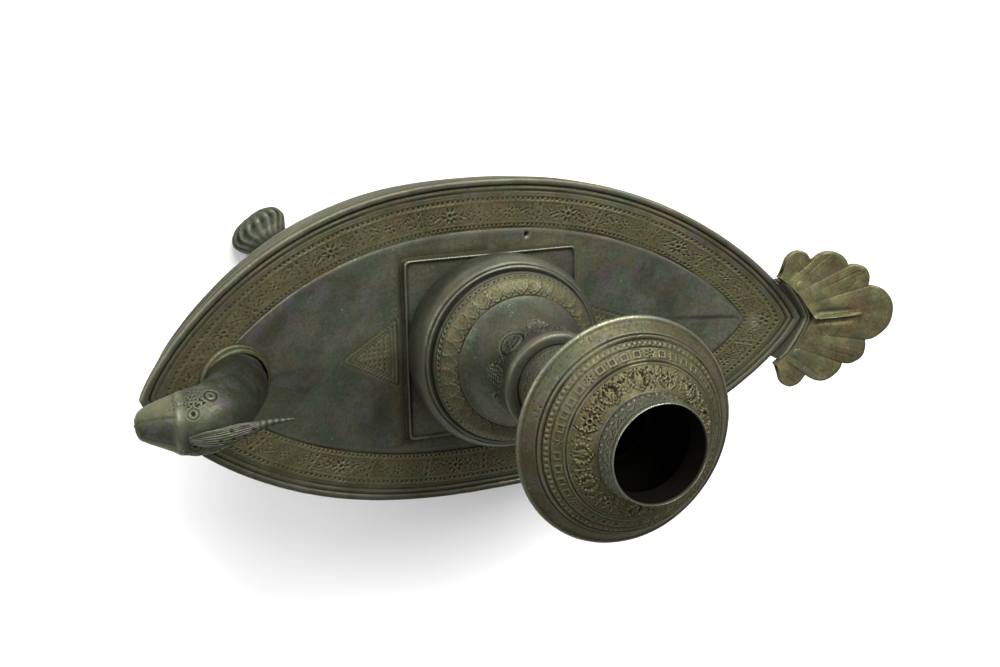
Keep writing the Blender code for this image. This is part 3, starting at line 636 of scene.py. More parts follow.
def make_field():
    """The plain field: a low roof with hammer marks, a punched triangle at each end of the plinth."""
    columns, rows = 1000, 60
    turns, _ = leaf_turns(columns)
    x_edge, y_edge = leaf_point(turns, 1.0)
    shares = np.linspace(0, 1, rows)
    x = np.repeat(x_edge[None, :], rows, axis=0)
    y = y_edge[None, :] * (1 - shares[:, None])
    height = sheer(x) + roof(x, y)
    wave = 0.16 * np.sin(0.11 * x + 1.1) * np.sin(0.17 * y + 0.5) + 0.09 * np.sin(0.31 * x - 0.21 * y)
    height += wave * np.clip(shares[:, None] * 8, 0, 1)
    height -= 0.25 * np.clip(1 - shares[:, None] * 43 / 0.8, 0, 1)
    fold = np.clip((x - 72) / 20, 0, 1) * np.clip((106 - x) / 4, 0, 1) * np.exp(-((y - 2) / 7) ** 2)
    height += 0.35 * np.tanh((y - 2.0 + 0.05 * (x - 90)) / 0.7) * fold
    warm = np.zeros(x.shape)
    for base, apex, half in ((-34, -58, 13.5), (40, 72.5, 11.4)):
        inside = inside_triangle(x, y, base, apex, half)
        for step in (0.6, 1.9, 3.2):
            height -= 0.24 * np.clip(1 - np.abs(inside - step) / 0.45, 0, 1) * (inside > 0)
        height += 0.18 * np.clip(1 - np.abs(inside - 1.25) / 0.4, 0, 1)
        punch = np.clip(np.cos(x * 2 * np.pi / 1.9) + np.cos(y * 2 * np.pi / 1.9) - 0.4, 0, 1)
        height -= 0.3 * punch * np.clip((inside - 3.8) / 0.4, 0, 1)
        warm = np.maximum(warm, np.clip(inside / 0.4, 0, 1))
    pit = np.clip(1.9 - np.hypot((x - 18.7) / 0.55, (y - 39.8) / 0.45), 0, 1)
    height -= 1.3 * pit
    top = np.stack([x, y, height], axis=-1)[::-1]
    under = top.copy()[::-1]
    under[..., 2] = sheer(under[..., 0]) - DECK_SHEET
    grid = np.concatenate([top, under])
    full_warm = np.concatenate([warm[::-1], np.zeros(warm.shape)])
    beside = np.maximum(np.abs(x - NECK_X), np.abs(y)) - PLINTH_HALF
    # Painted shade: a dark band beside the plinth's -X side, added to the pit's near-black
    shade_by_plinth = np.clip(1 - beside / 3.2, 0, 1) * (beside > -2)
    pit = np.maximum(pit, 0.6 * shade_by_plinth * (x < NECK_X))
    full_warm[:rows] = np.maximum(full_warm[:rows], np.clip(1 - beside / 6, 0, 1)[::-1] * 0.8)
    soot_and_shade = np.concatenate([pit[::-1], np.zeros(warm.shape)])
    return add_grid("deck_field", grid, ["deck_plate"], smooth, close_rows=False,
                    dense=rows, warm=full_warm, soot_and_shade=soot_and_shade)


def make_rim():
    """The rounded rim: a flat outer step, a ridge line and an inner lip, swept round the leaf."""
    section = rounded([(0.7, -RIM_DEPTH), (0.05, -2.3), (0, -0.8), (0.2, 0.1), (0.8, 0.5), (1.6, 0.62),
                       (2.2, 0.55), (2.6, 0.2), (2.72, -0.3), (2.72, -2.2)], 2)
    section = evenly(section, 26)
    columns = 1200
    turns, _ = leaf_turns(columns)
    wobble = unevenness(np.linspace(0, 8, len(section)), 640, columns, ((40, 0.12), (8, 0.05)))
    rows = []
    for i, (inset, rise) in enumerate(section):
        x, y = leaf_point(turns, inset / BORDER_END)
        rows.append(np.stack([x, y, sheer(x) + rise + wobble[i]], axis=-1))
    for inset, rise in ((5.0, -DECK_SHEET - GAP), (5.0, -RIM_DEPTH)):
        x, y = leaf_point(turns, inset / BORDER_END)
        rows.append(np.stack([x, y, sheer(x) + rise], axis=-1))
    return add_grid("deck_rim", np.stack(rows), ["rim_moulding"], dark,
                    dense=len(section))


def hull_rows(inset, stations, steps):
    """One hull surface as rows from tip to tip, each an open curve from rim to rim."""
    half_length = LEAF_LENGTH - HULL_INSET - 1.5 * inset
    half_width = LEAF_WIDTH - HULL_INSET - inset
    tip = SHEER - RIM_DEPTH - GAP
    x = -half_length * np.cos(np.pi * np.arange(stations + 1) / stations)[:, None]
    angle = (np.pi * np.arange(steps + 1) / steps)[None, :]
    along = np.abs(x) / half_length
    top = sheer(x) - RIM_DEPTH - GAP
    keel = -HULL_KEEL + inset + (HULL_KEEL - inset + tip) * along ** HULL_KEEL_POWER
    side = leaf_width(x, half_length, half_width)
    out = np.abs(np.cos(angle)) ** (2 / HULL_FULLNESS)
    down = np.abs(np.sin(angle)) ** (2 / HULL_FULLNESS)
    y = side * out * np.sign(np.cos(angle))
    z = top - (top - keel) * down
    return np.stack([np.broadcast_to(x, y.shape), y, z], axis=-1)


def make_hull():
    """The boat-shaped body: smooth below, with two fine raised lines under its rim."""
    stations, steps = 240, 150
    outer = hull_rows(0, stations, steps)
    inner = hull_rows(2, stations, steps)
    depth = outer[:, :1, 2] - outer[:, :, 2]
    swell = 0.5 * np.exp(-((depth - 4.5) / 0.7) ** 2) + 0.4 * np.exp(-((depth - 7.0) / 0.5) ** 2)
    swell += 0.10 * np.sin(outer[..., 0] * 0.13) * np.sin(outer[..., 2] * 0.21)
    swell *= np.clip(leaf_width(outer[..., 0]) / 20, 0, 1)
    outer[..., 1] += swell * np.sign(outer[..., 1]) * np.clip(np.abs(outer[..., 1]) / 8, 0, 1)
    grid = np.concatenate([outer, inner[:, ::-1]], axis=1)
    return add_grid("hull_body", grid, ["reservoir_hull"], dark, close_rows=False, step=3)


# ---------------------------------------------------------------- turned pieces

def arc(start, end, bulge, count=10):
    """Points on a shallow arc between two (radius, height) points, bulging outwards."""
    a, b = np.array(start, float), np.array(end, float)
    along = b - a
    out = np.array([along[1], -along[0]]) / np.linalg.norm(along)
    if out[0] < 0:
        out = -out
    t = np.linspace(0, 1, count)[:, None]
    return (a + along * t + out * bulge * 4 * t * (1 - t)).tolist()


def turned(name, outer, inner, columns, rows, decorate, node, material, warm_band=None, ripple=0.05,
           matrix=None, step=2, shade_band=None, rubbed_and_glint_band=None):
    """A turned piece: a fine outer surface with relief, and a plain inner one that closes it."""
    line = evenly(outer, rows)
    along = np.gradient(line, axis=0)
    normal = np.stack([along[:, 1], -along[:, 0]], axis=-1)
    normal /= np.linalg.norm(normal, axis=-1, keepdims=True)
    middle = line.mean(axis=0)
    if ((line - np.array([min(p[0] for p in inner), middle[1]])) * normal).sum() < 0:
        normal = -normal
    distance = np.concatenate([[0], np.cumsum(np.linalg.norm(np.diff(line, axis=0), axis=1))])
    relief = Relief(columns, distance, 2 * np.pi * line[:, 0])
    if decorate:
        decorate(relief, line)
    height = relief.heights() + unevenness(distance, relief.lengths, columns,
                                           ((21, ripple), (7, 0.4 * ripple)))
    radius = line[:, :1] + normal[:, :1] * height
    level = line[:, 1:] + normal[:, 1:] * height
    if inner:
        radius = np.concatenate([radius, np.repeat([[p[0]] for p in inner], columns, axis=1)])
        level = np.concatenate([level, np.repeat([[p[1]] for p in inner], columns, axis=1)])
    turn = 2 * np.pi * np.arange(columns) / columns
    grid = np.stack([radius * np.cos(turn), radius * np.sin(turn), level], axis=-1)
    if matrix is None:
        grid[..., 0] += NECK_X
    else:
        turned_grid = grid.reshape(-1, 3) @ np.array(matrix.to_3x3()).T
        grid = (turned_grid + np.array(matrix.translation)).reshape(grid.shape)
    warm, soot_and_shade, polish = (first_rows(grid, rows, band(line)[:, None] if band else 0)
                          for band in (warm_band, shade_band, rubbed_and_glint_band))
    # Painted shade: the inner surface goes near-black, with soot inside the mouth
    soot_and_shade[rows:] = 1      # the inner surface
    return add_grid(name, grid, [node], material, dense=rows, warm=warm, soot_and_shade=soot_and_shade, polish=polish,
                    step=step)


def at_radius(relief, line, wanted, column=0):
    """Distance along a turned outline at which it has some radius."""
    order = np.argsort(line[:, column])
    return float(np.interp(wanted, line[order, column], relief.across[order]))


def at_height(relief, line, height):
    return at_radius(relief, line, height, column=1)


def soft_band(values, low, high, soft=0.6):
    return np.clip((values - low) / soft, 0, 1) * np.clip((high - values) / soft, 0, 1)


def decorate_dome(relief, line):
    """A punched row, a ring of arches, a plain slope, then leaves and medallions under the neck."""
    row = at_radius(relief, line, 31.0)
    relief.line(row - 1.2, 0.35, -0.3)
    relief.beads(96, row, 0.62, -0.5)
    relief.line(row + 0.95, 0.25, -0.18)
    low, high = row + 1.4, at_radius(relief, line, 24.9)
    middle = (low + high) / 2
    arches = 34
    half = np.pi * 28 / arches
    for k in range(arches):
        share = (k + 0.5) / arches
        for side in (-1, 1):
            arch = [(side * half * 0.95, low + 0.2), (side * half * 0.95, middle + 0.4),
                    (side * half * 0.5, high - 1), (0, high - 0.5)]
            relief.stroke(share, arch, 0.4, 0.22, False)
            relief.oval(share + side * 0.45 * half / 176, high - 0.35, 0.4, 0.4, -0.28)
        relief.oval(share, middle - 0.4, half * 0.62, 1.5, -0.16, power=0.5)
        relief.oval(share + rng.uniform(-0.5, 0.5) / 176, middle + rng.uniform(-0.8, 0), 0.4, 0.6, 0.1)
    relief.line(high + 0.25, 0.3, -0.28)
    scratch(relief, 160, relief.across[0], relief.across[-1])
    root = at_height(relief, line, 57.0)
    clusters = 9
    for k in range(clusters):
        share = (k + 0.3) / clusters
        centre = root - 6.6
        if k % 2:
            relief.ring(share, centre, 4.7, 0.55, -0.6)
            relief.ring(share, centre, 3.7, 0.5, 0.3)
            rosette(relief, share, centre, 3.2, 5, -0.75, 0.4 * k)
        else:
            for lean in range(-2, 3):
                top = [(lean * 0.9, centre - 5.6), (lean * 1.9, centre), (lean * 0.9, centre + 5.4)]
                relief.stroke(share, top, 0.6, -0.85)
            for side in (-1, 1):
                edge = [(0, centre - 6.6), (side * 5.2, centre - 0.8), (0, centre + 6.2)]
                relief.stroke(share, edge, 0.5, 0.35)
        for side in (-1, 1):
            leaf_spray(relief, share + side * 0.42 / clusters, centre + 1.0, 2.2, side, -0.5)
        for _ in range(5):
            relief.oval(share + rng.uniform(0.3, 0.7) / clusters, centre + rng.uniform(-5, 5),
                        0.55, 0.45, -0.45)
    relief.line(root - 0.4, 0.3, -0.25)


def decorate_flange(relief, line):
    """From the edge in: plain, a raised ring, beads, framed squares, a double line, a deep leaf band."""
    relief.line(at_radius(relief, line, 35.0), 0.5, -0.12)
    scratch(relief, 420, relief.across[0], relief.across[-1])
    ring = at_radius(relief, line, 31.0)
    relief.line(ring, 0.45, 0.45)
    relief.line(ring - 0.8, 0.35, -0.25)
    relief.beads(104, at_radius(relief, line, 29.4), 0.72, 0.34, 0.5)
    for radius in (30.3, 28.4):
        relief.line(at_radius(relief, line, radius), 0.3, -0.3)
    row = at_radius(relief, line, 26.7)
    squares = 40
    for k in range(squares):
        share = (k + 0.25) / squares
        if k % 5 == 4:
            rosette(relief, share, row, 1.5, 6, -0.34, 0.3)
            continue
        relief.box(share, row, 1.35, 1.25, 0.26, 0.4)
        relief.box(share, row, 0.72, 0.68, -0.34, 0.35)
        relief.oval(share, row, 0.42, 0.42, 0.3)
    for radius in (25.1, 24.2):
        relief.line(at_radius(relief, line, radius), 0.3, 0.28)
    relief.line(at_radius(relief, line, 24.65), 0.3, -0.3)
    low, high = at_radius(relief, line, 23.7), at_radius(relief, line, 17.6)
    middle = (low + high) / 2
    leaves = 13
    around = 2 * np.pi * 20.5
    for k in range(leaves):
        share = (k + 0.5) / leaves
        if k % 3 == 2:
            rosette(relief, share, middle + 0.2, 2.5, 6, -0.6, 0.3 * k)
            for side in (-1, 1):
                leaf_spray(relief, share + side * 3.7 / around, middle - 0.4, 1.5, side, -0.5)
                tendril = [(side * 2.4, low + 0.5), (side * 3.3, middle), (side * 1.4, high - 0.6)]
                relief.stroke(share, tendril, 0.55, 0.65)
        else:
            for side in (-1, 1):
                curl = [(0.3 * side, high - 0.3), (3.2 * side, middle + 0.8), (2.6 * side, middle - 1.4),
                        (0.8 * side, low + 1.2)]
                relief.stroke(share, curl, 0.62, 0.75)
                vein = [(0.5 * side, low + 0.6), (1.9 * side, middle), (1.1 * side, high - 1.2)]
                relief.stroke(share, vein, 0.5, -0.7)
                leaf_spray(relief, share + side * 3.9 / around, middle + 1.5, 1.5, side, -0.4)
                relief.oval(share + side * 4.3 / around, middle - 1.3, 1.0, 0.5, -0.55, 0.7 * side)
                relief.oval(share + side * 3.1 / around, low + 0.7, 0.7, 0.45, -0.5, -0.5 * side)
            relief.oval(share, middle - 1.5, 0.5, 1.1, -0.6)
            relief.oval(share, middle + 1.4, 0.5, 0.9, 0.5)
        relief.box(share + 0.5 / leaves, middle, 0.28, 2.5, 0.32, 0.3)
        for _ in range(7):
            relief.oval(share + rng.uniform(-0.5, 0.5) / leaves, rng.uniform(low, high),
                        rng.uniform(0.3, 0.6), rng.uniform(0.25, 0.4), -0.4, rng.uniform(0, 3.1))


def scratch(relief, count, low, high, depth=-0.2):
    """Small dents and nicks all over a band."""
    for _ in range(count):
        relief.oval(rng.uniform(0, 1), rng.uniform(low, high), rng.uniform(0.25, 0.8), rng.uniform(0.15, 0.3),
                    depth * rng.uniform(0.4, 1.3), rng.uniform(0, 3.1))


def decorate_collar(relief, line):
    foot = at_height(relief, line, 126.0)
    relief.line(foot + 0.4, 0.4, 0.35)
    relief.line(foot + 1.3, 0.35, -0.3)
    relief.beads(44, foot + 2.6, 0.62, 0.4, 0.5)
    relief.line(foot + 3.7, 0.25, -0.2)
    for k in range(30):
        share = k / 30
        for side in (-1, 1):
            relief.stroke(share, [(side * 1.6, foot + 4.4), (0, foot + 6.4)], 0.28, -0.3, False)
        relief.oval(share + 0.5 / 30, foot + 5.8, 0.4, 0.4, -0.3)
    relief.line(foot + 7.3, 0.3, -0.25)
    scratch(relief, 90, foot, relief.across[-1] - 1)


def decorate_neck(relief, line):
    """Rows of small punched rings between engraved lines, over fine turning marks."""
    for height in (64.2, 70.4, 76.6, 82.8, 89.0, 95.2):
        relief.line(at_height(relief, line, height), 0.3, -0.28)
        centre = at_height(relief, line, height + 3.1)
        for k in range(22):
            share = (k + (0.5 if int(height) % 2 else 0)) / 22
            relief.ring(share, centre, 1.25, 0.36, -0.26)
            relief.oval(share, centre, 0.5, 0.5, -0.3)
            for up in (-1.9, 1.9):
                relief.oval(share + 0.5 / 22, centre + up, 0.5, 0.5, -0.28)
            relief.oval(share + 0.5 / 22, centre, 0.4, 1.0, -0.25)


def make_neck():
    base = rounded([(34.4, 4.9), (35.2, 7.4), (36.4, 13.0), (37.0, 17.6), (36.6, 20.8), (35.0, 23.4),
                    (33.9, 24.2), (33.5, 24.75), (32.9, 24.85), (32.6, 24.4)], 2)

    def base_marks(relief, line):
        relief.line(at_height(relief, line, 6.0), 0.4, -0.2)
        relief.line(relief.across[-1] - 1.9, 0.35, -0.35)

    turned("base_ring", base, [(27.2, 24.4), (27.2, 4.9)], 480, 60, base_marks, "dome_base_ring",
           smooth, ripple=0.12, step=3)

    shoulder = [(31.3, 24.9), (31.9, 25.4)] + arc((32.0, 26.6), (25, 32.4), 1.4)
    bell = arc((22.6, 34.8), (17.4, 57.6), -1.9) + [(17.2, 57.9)]
    turned("bell", rounded(shoulder + bell, 2), [(14.5, 57.9), (14.5, 52.0), (20.4, 33.4), (28.7, 26.9),
                                                   (28.7, 24.9)],
           600, 140, decorate_dome, "dome_shell", smooth,
           lambda line: soft_band(line[:, 0], 24.4, 31.6),
           # Painted shade: the dome darkened towards its top, under the knop
           shade_band=lambda line: 0.4 * soft_band(line[:, 1], 46.5, 60, 4))

    knop = [(16.2, 58.3)]
    for i in range(9):
        angle = math.radians(-70 + 17.5 * i)
        knop.append((16.4 + 2.1 * math.cos(angle), 60.6 + 2.2 * math.sin(angle)))
    knop += [(16.0, 62.9), (14.6, 62.9)]
    turned("neck_knop", rounded(knop, 2), [(14.5, 62.8), (14.5, 58.3)], 300, 34, None, "neck_ring",
           smooth)

    turned("neck_stem", [(14.2, 54.2), (14.2, 102.8)], [(12.2, 103.0), (12.2, 54.0)], 400, 150,
           decorate_neck, "neck_tube", smooth,
           # Painted shade: the stem's top, inside the flange cup, darkened
           lambda line: 0.25 + 0 * line[:, 0], shade_band=lambda line: np.clip(line[:, 1] - 99, 0, 1))

    cup = [(16.2, 99.0), (16.7, 99.4), (17.1, 102.0)] + arc((19.0, 105.5), (34.6, 111.3), 1.2)
    cup += [(35.7, 111.8), (35.8, 112.0)]

    def cup_marks(relief, line):
        for radius in (33.0, 29.0, 22.5):
            relief.line(at_radius(relief, line, radius), 0.4, -0.25)
        relief.line(at_height(relief, line, 100.4), 0.5, 0.3)

    turned("flange_cup", rounded(cup, 2), [(33.9, 111.9), (32.3, 111.2), (18.2, 107.6), (14.6, 104.0),
                                            (14.6, 99.0)],
           480, 70, cup_marks, "flange_underside", dark, ripple=0.08)

    top = [(35.6, 112.2), (36.15, 112.45), (36.3, 112.75), (36.1, 113.1), (35.3, 113.68)]
    top += arc((34.4, 114.1), (16.95, 126.8), 1.0, 14)
    turned("flange_saucer", rounded(top, 2), [(16.95, 124.6), (30.4, 114.6), (33.9, 112.2)], 880, 96,
           decorate_flange, "flange_top", engraved,
           lambda line: np.maximum(0.85 * soft_band(line[:, 0], 17.0, 24.2),
                                   0.45 * soft_band(line[:, 0], 24, 31)),
           # The rim's outer bevel: rubbed, with a painted glint
           rubbed_and_glint_band=lambda line: soft_band(line[:, 0], 35.5, 36.2, 0.3) * (line[:, 1] > 112.9))

    lip = [(16.6, 124.6), (16.95, 126.2), (16.55, 128.6), (16.05, 131.2), (15.7, 133.6), (15.75, 134.5),
           (15.65, 134.9), (15.45, 135.0), (15.3, 134.8)]
    turned("mouth_lip", rounded(lip, 2), [(15.2, 133.5), (15.2, 124.6)], 520, 56, decorate_collar,
           "mouth_collar", smooth, lambda line: 0.3 * soft_band(line[:, 1], 124, 129),
           # The lip's top edge: rubbed, with a painted highlight
           rubbed_and_glint_band=lambda line: soft_band(line[:, 1], 134.3, 136, 0.4))


# ---------------------------------------------------------------- plinth

def make_plinth():
    """The square step under the neck: leaning sides, a thin raised frame and a sunk plate."""
    section = rounded([(0, -2.2), (0.0, 0.5), (0.35, 3.6), (0.45, 4.7), (0.75, 5.05), (1.15, 5.0),
                       (1.5, 4.45), (2.3, 4.25), (3.9, 4.3)], 2)
    section = evenly(section, 30)
    per_side = 120
    corners = [(1, 1), (-1, 1), (-1, -1), (1, -1)]
    hole = PLINTH_HALF - PLINTH_BORE
    rows = []
    for inset, rise in list(section) + [(hole, 4.3), (hole, -0.5)]:
        side = PLINTH_HALF - inset
        ring = []
        for (ax, ay), (bx, by) in zip(corners, corners[1:] + corners[:1]):
            for t in np.linspace(0, 1, per_side, endpoint=False):
                x, y = (ax + (bx - ax) * t) * side, (ay + (by - ay) * t) * side
                if inset == hole:
                    squeeze = PLINTH_BORE / math.hypot(x, y)
                else:
                    squeeze = (abs(x / side) ** 40 + abs(y / side) ** 40) ** (-1 / 40)
                x, y = x * squeeze + NECK_X, y * squeeze
                ring.append((x, y, float(sheer(x) + roof(x, y)) + GAP if rise < 0 else rise))
        rows.append(ring)
    grid = np.array(rows)
    grid[:len(section), :, 2] += unevenness(section[:, 0], 280, grid.shape[1], ((30, 0.08), (6, 0.03)))
    return add_grid("plinth", grid, ["square_plinth"], smooth, dense=len(section),
                    warm=first_rows(grid, 14, 0.8))


# ---------------------------------------------------------------- bird

def sweep(stations, rows, columns):
    """Rings along a path. Each station is (x, z, half width, half height, tilt in degrees)."""
    line = through(stations, rows)
    lean = np.radians(line[:, 4])
    up = np.stack([np.cos(lean), np.zeros(rows), np.sin(lean)], axis=-1)
    side = np.array([0.0, 1.0, 0.0])
    turn = 2 * np.pi * np.arange(columns) / columns
    centre = np.stack([line[:, 0], np.zeros(rows), line[:, 1]], axis=-1)
    ring = (side[None, None] * (line[:, 2, None] * np.cos(turn))[..., None]
            + up[:, None] * (line[:, 3, None] * np.sin(turn))[..., None])
    return centre[:, None] + ring, line, turn


def grid_normals(grid):
    along = np.roll(grid, -1, axis=1) - np.roll(grid, 1, axis=1)
    across = np.gradient(grid, axis=0)
    normal = np.cross(along, across)
    normal /= np.linalg.norm(normal, axis=-1, keepdims=True) + 1e-9
    outward = grid - grid.mean(axis=1, keepdims=True)
    flip = np.sign((normal * outward).sum(axis=-1, keepdims=True))
    return normal * np.where(flip == 0, 1, flip)


def make_bird():
    """The bird's head on its neck: ringed eyes, nostrils, a ridge behind the beak, punched feathers."""
    stations = [(-97.2, 17.2, 10.8, 10.8, 9), (-97.9, 20.6, 10.8, 10.8, 6), (-98.9, 24.5, 10.6, 10.6, 6),
                (-101, 30, 10.2, 10.6, 14), (-104, 36, 10.0, 10.8, 30), (-107, 43, 10.6, 11.2, 50),
                (-111.5, 48, 11.2, 11.4, 72), (-117, 50, 10.8, 10.4, 88), (-121.5, 49.6, 9.6, 8.6, 95),
                (-126, 48.2, 7.9, 6.8, 100), (-130.2, 46.8, 6.1, 5.2, 104), (-132.8, 45.9, 4.5, 3.9, 106),
                (-133.9, 45.4, 2.0, 1.8, 108)]
    rows, columns = 300, 260
    grid, line, turn = sweep(stations, rows, columns)
    normal = grid_normals(grid)
    lift = np.zeros((rows, columns))
    clear = np.ones((rows, columns))
    x, y, z = grid[..., 0], grid[..., 1], grid[..., 2]
    for side in (-1, 1):
        eye = np.sqrt((x + 111.4) ** 2 + (y - side * 9.0) ** 2 + (z - 54.4) ** 2)
        lift -= 0.4 * np.exp(-((eye - 2.0) / 0.36) ** 2) + 0.75 * np.exp(-(eye / 0.55) ** 2)
        nostril = np.sqrt((x + 117.6) ** 2 + (y - side * 5.4) ** 2 + (z - 58.6) ** 2)
        lift -= 0.2 * np.exp(-((nostril - 1.7) / 0.35) ** 2) + 0.9 * np.exp(-(nostril / 0.75) ** 2)
        clear = clear * np.clip(eye - 2.3, 0, 1) * np.clip(nostril - 1.9, 0, 1)
    lift += 0.4 * np.exp(-((x + 121.0 + 0.12 * (z - 50)) / 1.3) ** 2) * np.clip((z - 44) / 6, 0, 1)
    beak = np.clip((-121.6 - x) / 1.5, 0, 1)
    centre_z = np.interp(-x, -line[:, 0], line[:, 1])
    gape = np.exp(-((z - centre_z + 1.5) / 0.45) ** 2) * beak
    lift -= 0.6 * gape
    crease = np.interp(-x, -line[:, 0], line[:, 2]) * 0.5
    above = z > centre_z
    lift -= 0.14 * np.exp(-((np.abs(y) - crease) / 0.5) ** 2) * beak * above
    pallor = np.clip((np.abs(y) - crease) / 2.4, 0, 1) * beak * 0.7
    ridge = np.exp(-((x + 120.9 + 0.12 * (z - 50)) / 1.5) ** 2)
    polish = np.clip(0.65 * np.maximum(pallor, ridge), 0, 1)
    # Painted shade: the neck darker towards its collar
    shade = 0.42 * np.clip((x + 108) / 9, 0, 1)
    head = Relief(columns, np.linspace(0, 78, rows), 66.0)
    for _ in range(95):
        at = rng.uniform(0, 1)
        down = rng.uniform(13, 38)
        head.oval(at, down, rng.uniform(0.3, 0.6), rng.uniform(0.3, 0.5), -rng.uniform(0.15, 0.35),
                  rng.uniform(0, 3.1))
    for side in (-1, 1):
        for _ in range(130):
            head.oval(0.25 - side * rng.uniform(0.12, 0.3), rng.uniform(40, 55), rng.uniform(0.35, 0.6), 0.4,
                      -rng.uniform(0.35, 0.6), rng.uniform(0, 3.1))
    for _ in range(20):
        head.oval(rng.uniform(0, 1), rng.uniform(60, 74), 0.5, 0.4, -0.2, rng.uniform(0, 3.1))
    lift += head.heights(0.3) * clear + unevenness(head.across, 66, columns, ((14, 0.12), (5, 0.04)))
    grid = grid + normal * lift[..., None]
    foot = bird_place()
    tenon = []
    for height, radius in ((-DECK_SHEET - 2, 3.0), (1.5, 3.0), (1.5, 10.8)):
        ring = [foot @ Vector((radius * math.sin(t), radius * math.cos(t), height)) for t in turn]
        tenon.append([tuple(p) for p in ring])
    grid = np.concatenate([np.array(tenon), grid])
    tip = cap(grid[-1:])
    tip[..., 0] -= 0.3
    grid = np.concatenate([start_capped(grid), tip])
    tints = [np.concatenate([np.zeros((len(tenon) + 1, columns)), tint, tint[-1:]])
             for tint in (pallor, polish, shade)]
    return add_grid("bird_head", grid, ["bird_finial"], pale, close_rows=False,
                    warm=tints[0], polish=tints[1], soot_and_shade=tints[2])


def bird_place():
    """The bird collar's place, square to the deck."""
    x = -97.0
    slope = 2 * SHEER * x / LEAF_LENGTH ** 2
    normal = Vector((-slope, 0, 1)).normalized()
    turn = Vector((0, 0, 1)).rotation_difference(normal).to_matrix().to_4x4()
    return Matrix.Translation((x, 0, float(sheer(x)))) @ turn


def make_bird_collars():
    place = bird_place()
    for name, node, radius, low in (("bird_ring_low", "bird_collar_lower", 13.4, -0.4),
                                    ("bird_ring_high", "bird_collar_upper", 12.4, 2.7)):
        top = 2.4 if low < 0 else 4.5
        outer = rounded([(radius - 0.5, low), (radius, low + 0.3), (radius, top - 0.7),
                         (radius - 0.7, top - 0.05), (radius - 1.6, top)], 2)

        def notches(relief, line):
            relief.line(relief.across[-1] * 0.45, 0.3, -0.15)
            for k in range(30):
                relief.oval((k + 0.5) / 30, relief.across[-1] * 0.7, 0.3, 0.7, -0.1)

        turned(name, outer, [(11.1, top), (11.1, low)], 240, 22, notches, node,
               dark, lambda line: 0.5 + 0 * line[:, 0], matrix=place)


def make_crest():
    """A ribbed tuft of feathers that sweeps back to a beaded point."""
    stations = [(-119.5, 60.6, 1.0, 0.6, 90), (-117, 61.5, 1.9, 0.9, 90), (-114, 62, 2.6, 1.1, 90),
                (-107, 61.7, 2.9, 1.9, 90), (-100, 61, 1.9, 1.5, 90), (-94, 60.6, 0.95, 0.8, 90),
                (-87, 60.4, 0.4, 0.35, 90)]
    grid, _, turn = sweep(stations, 150, 96)
    normal = grid_normals(grid)
    x = grid[..., 0]
    grid[..., 1] -= 2.3 * np.clip((-94 - x) / 16, 0, 1)
    comb = 0.1 * np.cos(22 * turn)[None, :] * np.clip((-97 - x) / 5, 0, 1) * np.clip((x + 121) / 4, 0, 1)
    for spot_x, spot_y in ((-110.5, -1.6), (-106.6, -1.5), (-103.0, -1.0), (-107, 1.4), (-100, 0.4)):
        comb = comb - 0.55 * np.exp(-(((x - spot_x) ** 2 + (grid[..., 1] + 1.6 - spot_y) ** 2) / 0.62 ** 2))
    beads = 0.22 * np.abs(np.sin((x + 100) * math.pi / 2.1)) * np.clip((x + 100) / 2, 0, 1)
    lift = comb + beads * np.clip((-87.5 - x) / 3, 0.2, 1)
    grid = grid + normal * lift[..., None]
    return add_grid("bird_tuft", start_capped(grid), ["bird_crest"], pale, close_rows=False)


# ---------------------------------------------------------------- palmette

def tail_height(x):
    return TAIL_LEVEL + TAIL_SLOPE * (x - TAIL_RIVET_X)


LOBES = [(125.8, 22.3, 6), (139.5, 17.3, 9.8), (151.5, 13.5, 7.5), (159, 0, 11.5), (151.5, -13.5, 7.5),
         (139.5, -17.3, 9.8), (125.8, -22.3, 6)]


def palmette_line(count):
    """The lobed outline by rays from the palmette's middle, and which lobe each ray ends in."""
    angle = np.radians(np.linspace(142, -142, count))
    ray = np.stack([np.cos(angle), np.sin(angle)], axis=-1)
    centre = np.array([146.0, 0.0])
    reaches = []
    for x, y, radius in LOBES:
        to_lobe = np.array([x, y]) - centre
        along = ray @ to_lobe
        beside = to_lobe @ to_lobe - along ** 2
        reach = np.where(beside < radius ** 2, along + np.sqrt(np.clip(radius ** 2 - beside, 0, None)), 0)
        reaches.append(reach)
    reaches = np.array(reaches)
    best = reaches.max(axis=0)
    return centre + ray * best[:, None], reaches.argmax(axis=0)


